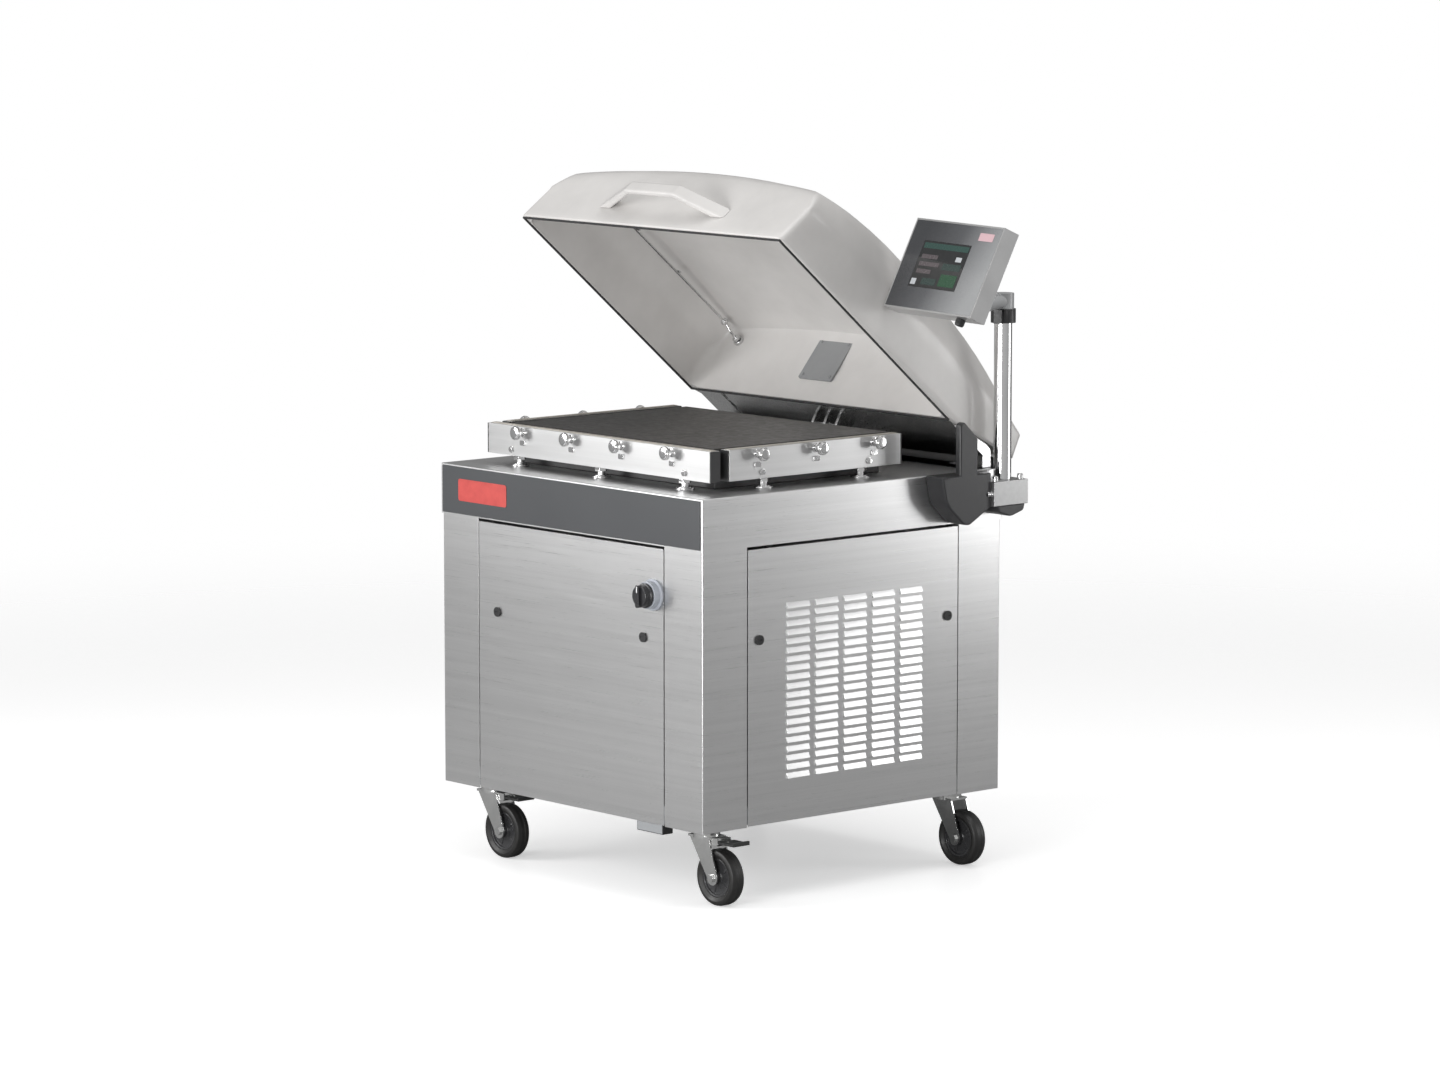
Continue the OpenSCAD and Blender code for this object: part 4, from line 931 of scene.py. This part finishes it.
pipe_across, pipe_rise, pipe_radius = -0.375, 0.15, 0.0028
pipe_front, pipe_up, pipe_aside, pipe_down, pipe_bend = 0.098, 0.024, 0.012, 0.014, 0.008
chamber_back = rim_depth - lid_wall
pipe_start = Vector((pipe_across, pipe_front, pipe_rise))
knee_to_wall, knee_run, pipe_gap = 0.06, 0.026, 0.002
pipe_knee = Vector((pipe_across, chamber_back - knee_to_wall, pipe_rise))
pipe_set = pipe_knee + Vector((pipe_aside, 0, -pipe_down))
pipe_route = [pipe_start + UP*pipe_up, pipe_start, pipe_knee, pipe_set + BACK*knee_run,
              pipe_set + BACK*(knee_to_wall - pipe_gap)]
nut_before_ring, nut_behind_knee = 0.011, 0.002
nut_profile = [(0, 0), (0.0095, 0), (0.0095, 0.007), (0.008, 0.0085), (0, 0.0085)]
ring_profile = [(0, 0), (0.0115, 0), (0.0125, 0.0012), (0.0125, 0.0075), (0.0115, 0.0088), (0.0052, 0.0088),
                (0.0052, 0.0068), (0, 0.0068)]
pipe_end = pipe_route[-1]
pipe_parts = [
    (swept(bent(pipe_route, pipe_bend), pipe_radius), LID),
    (turned(ring_profile), LID @ facing(-BACK, pipe_end)),
    (turned(nut_profile, 6), LID @ facing(-BACK, pipe_end - BACK*nut_before_ring)),
    (turned(nut_profile, 6), LID @ facing(-BACK, pipe_knee + BACK*nut_behind_knee)),
    (turned(ring_profile), LID @ facing(-UP, pipe_route[0])),
]
clip_w, clip_l, clip_t, clip_corner, clip_up = 0.018, 0.008, 0.0016, 0.003, 0.003
for share in (0.3, 0.62):
    clip_at = pipe_start.lerp(pipe_knee, share) + UP*clip_up
    clip = rounded_plate(clip_at, RIGHT, BACK, clip_w, clip_l, clip_t, clip_corner, 3)
    pipe_parts.append((clip, LID))
show("lid_tube", with_broken_edges(joined(pipe_parts), "lid_tube", 0.0003), "lid", machined,
     ["lid_pipe"])

# ---- Hinge ----
# Machined steel arms bolted behind the chamber carry the lid on a ground shaft,
# which turns in two cast bearings; three lugs with a pin lock the lid down.

bearing_grey = enamel("bearing_grey", (0.2, 0.2, 0.21), 0.45)
finely("hinge_arms", "lid", machined, 0.0015, 3)
finely("hinge_shaft", "lid", polished, 0.001)
finely("lid_lock_bracket", "lid", machined, 0.0008)
finely("hinge_bearings", "cabinet", bearing_grey, 0.0015)

# ---- Column and covers ----
# A polished tube stands in a bright block screwed to the table's side, with a
# black plastic cover in front of it over the end of the hinge.

cover_black = enamel("cover_black", (0.028, 0.028, 0.03), 0.36, peel=0.0001, size=700)
block_steel = brushed("block_steel", 0.4, 0.4, (grain, across_grain, across_grain))
finely("hinge_cover", "cabinet", cover_black, 0.004, 4, clamp=False)
finely("column_block", "cabinet", block_steel, 0.0015, 3)
block_low, block_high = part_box("column_block")
bolt_line = [(0, 0), (0.0075, 0), (0.0075, 0.002), (0.0065, 0.0022), (0.0065, 0.0105), (0.0055, 0.012),
             (0.0034, 0.012), (0.0032, 0.006), (0, 0.006)]
bolt_in, bolt_from_end = 0.012, 0.014
bolt_x = block_high.x - bolt_in
bolts = [(turned(bolt_line, 32), facing(UP, Vector((bolt_x, y, block_high.z))))
         for y in (block_low.y + bolt_from_end, block_high.y - bolt_from_end)]
block_mid = (block_low.z + block_high.z)/2
bolts.append((turned(bolt_line, 32), facing(-BACK, Vector((bolt_x, block_low.y, block_mid)))))
show("block_bolts", with_broken_edges(joined(bolts), "block_bolts", 0.0004), "cabinet", machined)
finely("column_foot", "cabinet", cover_black, 0.003, 3, clamp=False)
finely("column_tube", "cabinet", polished, 0.0015)

# ---- Swing arm and touch panel ----
# A black clamp ring and a grey cast hub turn on the column. The panel is a
# silver aluminium case that tilts on a pin. Its foil is dark grey round a display,
# with a painted sheen that lightens it to pale grey towards the bottom right, and a
# blank pale label sits at its top right.

arm_enamel = enamel("arm_enamel", (0.36, 0.365, 0.37), 0.34, coat=0.2)
case_silver = finish(
    "case_silver",
    lambda place: place.noise(14, 3).ramp((0.3, 0.66), (0.7, 0.74)),
    lambda place: place.noise(1400, 2).ramp((0.3, 0.28), (0.7, 0.38)),
    metal=0.85,
    normal=lambda place: place.noise(2200, 2).bump(0.00002, 0.3))
screen_black = finish(
    "screen_black",
    lambda place: place.noise(60, 2).ramp((0.3, (0.006, 0.007, 0.008)), (0.7, (0.011, 0.012, 0.013))),
    lambda place: place.noise(90, 2).ramp((0.3, 0.07), (0.7, 0.13)),
    Coat_Weight=0.6, Coat_Roughness=0.05)
finely("arm_clamp", "arm", black_moulding, 0.0012, 3)
finely("swing_arm", "arm", arm_enamel, 0.005, 4)
finely("panel_housing", "panel", case_silver, 0.0018, 3)
finely("touch_screen", "panel", screen_black, 0.0004)

# The display shows plain blocks of a menu, without words: a bar along the top,
# rows at the left, and a few keys.
screen_shape = frame["nodes"]["touch_screen"].data
panel_tilt_joint = next(joint for joint in frame["joints"] if joint["name"] == "panel_tilt")
panel_across = Vector(panel_tilt_joint["axis"]).normalized()
front_face = max(screen_shape.polygons, key=lambda face: face.area*(face.normal.y < -0.3))
panel_out = Vector(front_face.normal)
panel_up = panel_out.cross(panel_across)
screen_points = [vert.co for vert in screen_shape.vertices]
screen_mid = sum(screen_points, Vector())/len(screen_points)
screen_out = max(point.dot(panel_out) for point in screen_points)
screen_w = 2*max((point - screen_mid).dot(panel_across) for point in screen_points)
screen_h = 2*max((point - screen_mid).dot(panel_up) for point in screen_points)
screen_face = screen_mid + panel_out*(screen_out - screen_mid.dot(panel_out))


def glow(name, colour, power):
    """A lit patch of the display, a little uneven as behind a pixel grid."""
    return finish(
        name, tuple(part*0.5 for part in colour),
        lambda place: place.noise(200, 2).ramp((0.3, 0.2), (0.7, 0.3)),
        Emission_Color=lambda place: place.noise(900, 2).ramp(
            (0.2, tuple(part*0.8 for part in colour)), (0.8, colour)),
        Emission_Strength=power)


menu = {   # name: (colour, [(from left, from bottom, width, height) as shares of the glass])
    "header": ((0.03, 0.07, 0.06), [(0.03, 0.84, 0.94, 0.12)]),
    "rows": ((0.1, 0.085, 0.09),
             [(0.06, 0.62, 0.34, 0.09), (0.06, 0.46, 0.42, 0.09), (0.06, 0.3, 0.3, 0.09)]),
    "keys": ((0.5, 0.52, 0.54), [(0.03, 0.05, 0.1, 0.13), (0.78, 0.62, 0.12, 0.1)]),
    "start_key": ((0.02, 0.07, 0.035), [(0.6, 0.07, 0.34, 0.26)]),
    "fields": ((0.03, 0.05, 0.045), [(0.56, 0.42, 0.38, 0.14), (0.24, 0.07, 0.3, 0.14)]),
}
tile_thick, tile_corner = 0.0003, 0.0012
for name, (colour, tiles) in menu.items():
    parts = []
    for left, bottom, width, height in tiles:
        centre = (screen_face + panel_across*screen_w*(left + width/2 - 0.5)
                  + panel_up*screen_h*(bottom + height/2 - 0.5))
        parts.append((rounded_plate(centre, panel_across, panel_up, width*screen_w, height*screen_h,
                                    tile_thick, tile_corner, 3), Matrix.Identity(4)))
    show("display_" + name, mesh_from(joined(parts), "display_" + name), "panel",
         glow("display_" + name, colour, 0.6))

label_pale = enamel("label_pale", (0.62, 0.42, 0.45), 0.4, peel=0.00002, size=900)
foil_points = [vert.co for vert in frame["nodes"]["panel_front"].data.vertices]


def foil_reach(direction):
    """How far the foil lies along a direction, from its least to its most."""
    reach = [point.dot(direction) for point in foil_points]
    return min(reach), max(reach)


foil_bottom = foil_reach(panel_up)[0]
foil_mid = sum((sum(foil_reach(a))/2*a for a in (panel_across, panel_up)), Vector())
foil_out = foil_reach(panel_out)[1]
# The foil's painted sheen runs along this diagonal direction, over this length.
painted_sheen_length = 0.34
painted_sheen_run = (panel_across*0.92 - panel_up*0.38)/painted_sheen_length


def painted_sheen_across_foil(place):
    """Where the foil's painted sheen lies, from 0 at the foil's top left to 1 at its bottom right."""
    along = place.node("VectorMath", {"operation": "DOT_PRODUCT"}, {0: place, 1: tuple(painted_sheen_run)}, out=1)
    return along + (0.5 - foil_mid.dot(painted_sheen_run))


# The foil itself is dark grey. Its colour ramp from dark at the top left to pale grey at the bottom right is
# a painted sheen that stands in for the reflection on the metal foil.
foil_painted_sheen = finish(
    "foil_painted_sheen",
    lambda place: (painted_sheen_across_foil(place) + place.noise(30, 2)*0.02).ramp(
        (0.12, (0.042, 0.044, 0.049)), (0.5, (0.085, 0.088, 0.094)), (0.95, (0.3, 0.305, 0.31))),
    lambda place: place.noise(1100, 2).ramp((0.3, 0.24), (0.7, 0.32)),
    normal=lambda place: place.noise(1500, 2).bump(0.00001, 0.25),
    Coat_Weight=0.35, Coat_Roughness=0.12)
finely("panel_front", "panel", foil_painted_sheen, 0.0005)
label_w, label_h, label_t, label_corner = 0.055, 0.018, 0.0006, 0.002
label_aside, label_up = 0.118, 0.078    # from the foil's middle
label_at = foil_mid + panel_out*foil_out + panel_across*label_aside + panel_up*label_up
label = rounded_plate(label_at, panel_across, panel_up, label_w, label_h, label_t, label_corner, 3)
show("blank_label", with_broken_edges(label, "blank_label", 0.0002), "panel", label_pale)

# A black beeper cap hangs under the case's right end.
case_lip, cap_aside, cap_behind = 0.004, 0.11, 0.02
cap_profile = [(0, 0), (0.009, 0), (0.0105, 0.0015), (0.0105, 0.012), (0.0088, 0.0155), (0, 0.017)]
cap_at = (panel_across*(foil_mid.dot(panel_across) + cap_aside) + panel_up*(foil_bottom - case_lip)
          + panel_out*(foil_out - cap_behind))
show("beeper_cap", with_broken_edges(joined([(turned(cap_profile, 40), facing(-panel_up, cap_at))]),
                                     "beeper_cap", 0.0003), "panel", black_moulding)

# ---- Casters ----
# Zinc-plated pressed forks on a ball race, black rubber tyres on dark hubs with
# a ball bearing, and a black brake pedal on each front caster.

zinc = finish(
    "bright_zinc",
    lambda place: place.noise(22, 4, 0.7).ramp((0.3, (0.7, 0.705, 0.7)), (0.7, (0.8, 0.8, 0.79))),
    lambda place: place.noise(120, 4, 0.7).ramp((0.3, 0.12), (0.7, 0.24)),
    metal=1.0,
    normal=lambda place: place.noise(260, 3).bump(0.00003, 0.3))
tyre_rubber = finish(
    "tyre_rubber",
    lambda place: place.noise(30, 4, 0.6).ramp((0.3, (0.012, 0.012, 0.012)), (0.7, (0.022, 0.021, 0.02))),
    lambda place: place.noise(80, 3).ramp((0.3, 0.36), (0.7, 0.55)),
    normal=lambda place: place.noise(700, 3).bump(0.0001, 0.4))
hub_dark = enamel("hub_dark", (0.035, 0.035, 0.037), 0.28, peel=0.00008, size=400, coat=0.4)
pedal_black = enamel("pedal_black", (0.03, 0.03, 0.03), 0.4)
tyre_line = [(0.0435, -0.0135), (0.0475, -0.0152), (0.052, -0.0178), (0.0565, -0.0176), (0.0598, -0.0158),
             (0.0616, -0.0125), (0.0621, -0.0085), (0.0625, -0.008), (0.0625, -0.0032), (0.0619, -0.0028)]
hub_line = [(0.0062, -0.0195), (0.0132, -0.0195), (0.014, -0.0187), (0.014, -0.0105), (0.0175, -0.0085),
            (0.028, -0.0075), (0.0372, -0.0085), (0.0392, -0.0125), (0.0425, -0.0132), (0.0435, -0.0125)]


def ring_solid(line, steps=64):
    """A closed bmesh turned from a line and its mirror image, open at the axis."""
    shape = bmesh.new()
    profile = line + [(radius, -height) for radius, height in reversed(line)]
    rings = [[shape.verts.new((radius*math.cos(math.tau*i/steps), radius*math.sin(math.tau*i/steps), height))
              for i in range(steps)] for radius, height in profile]
    for low, high in zip(rings, rings[1:] + rings[:1]):
        walled(shape, low, high)
    bmesh.ops.recalc_face_normals(shape, faces=shape.faces)
    return shape


web_count, web_mid, web_out = 5, 0.0265, 0.0072
web_l, web_w, web_t = 0.022, 0.005, 0.002
for corner in ("front_left", "front_right", "rear_left", "rear_right"):
    low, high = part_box("wheel_" + corner)
    hub_at = facing(BACK, (low + high)/2)
    tyre = with_broken_edges(joined([(ring_solid(tyre_line), hub_at)]), "tyre_" + corner, 0.0003)
    show("tyre_" + corner, tyre, "wheel_" + corner + "_body", tyre_rubber,
         ["wheel_" + corner])
    hub_parts = [(ring_solid(hub_line), hub_at)]
    for i in range(web_count):
        turn = math.tau*i/web_count
        for sign in (-1, 1):
            rib = rounded_plate(Vector((0, 0, 0)), RIGHT, UP, web_l, web_w, web_t, web_t, 3)
            lay = (hub_at @ Matrix.Rotation(turn, 4, "Z") @ Matrix.Translation((web_mid, 0, sign*web_out))
                   @ Matrix.Rotation(sign*math.pi/2 + math.pi, 4, "X"))
            hub_parts.append((rib, lay))
    hub = with_broken_edges(joined(hub_parts), "hub_" + corner, 0.0006)
    show("hub_" + corner, hub, "wheel_" + corner + "_body", hub_dark)
    finely("fork_" + corner, "fork_" + corner + "_body", zinc, 0.0009)
finely("caster_plates", "cabinet", zinc, 0.0008)
for side in ("left", "right"):
    finely("brake_pedal_" + side, "pedal_" + side, pedal_black, 0.001)
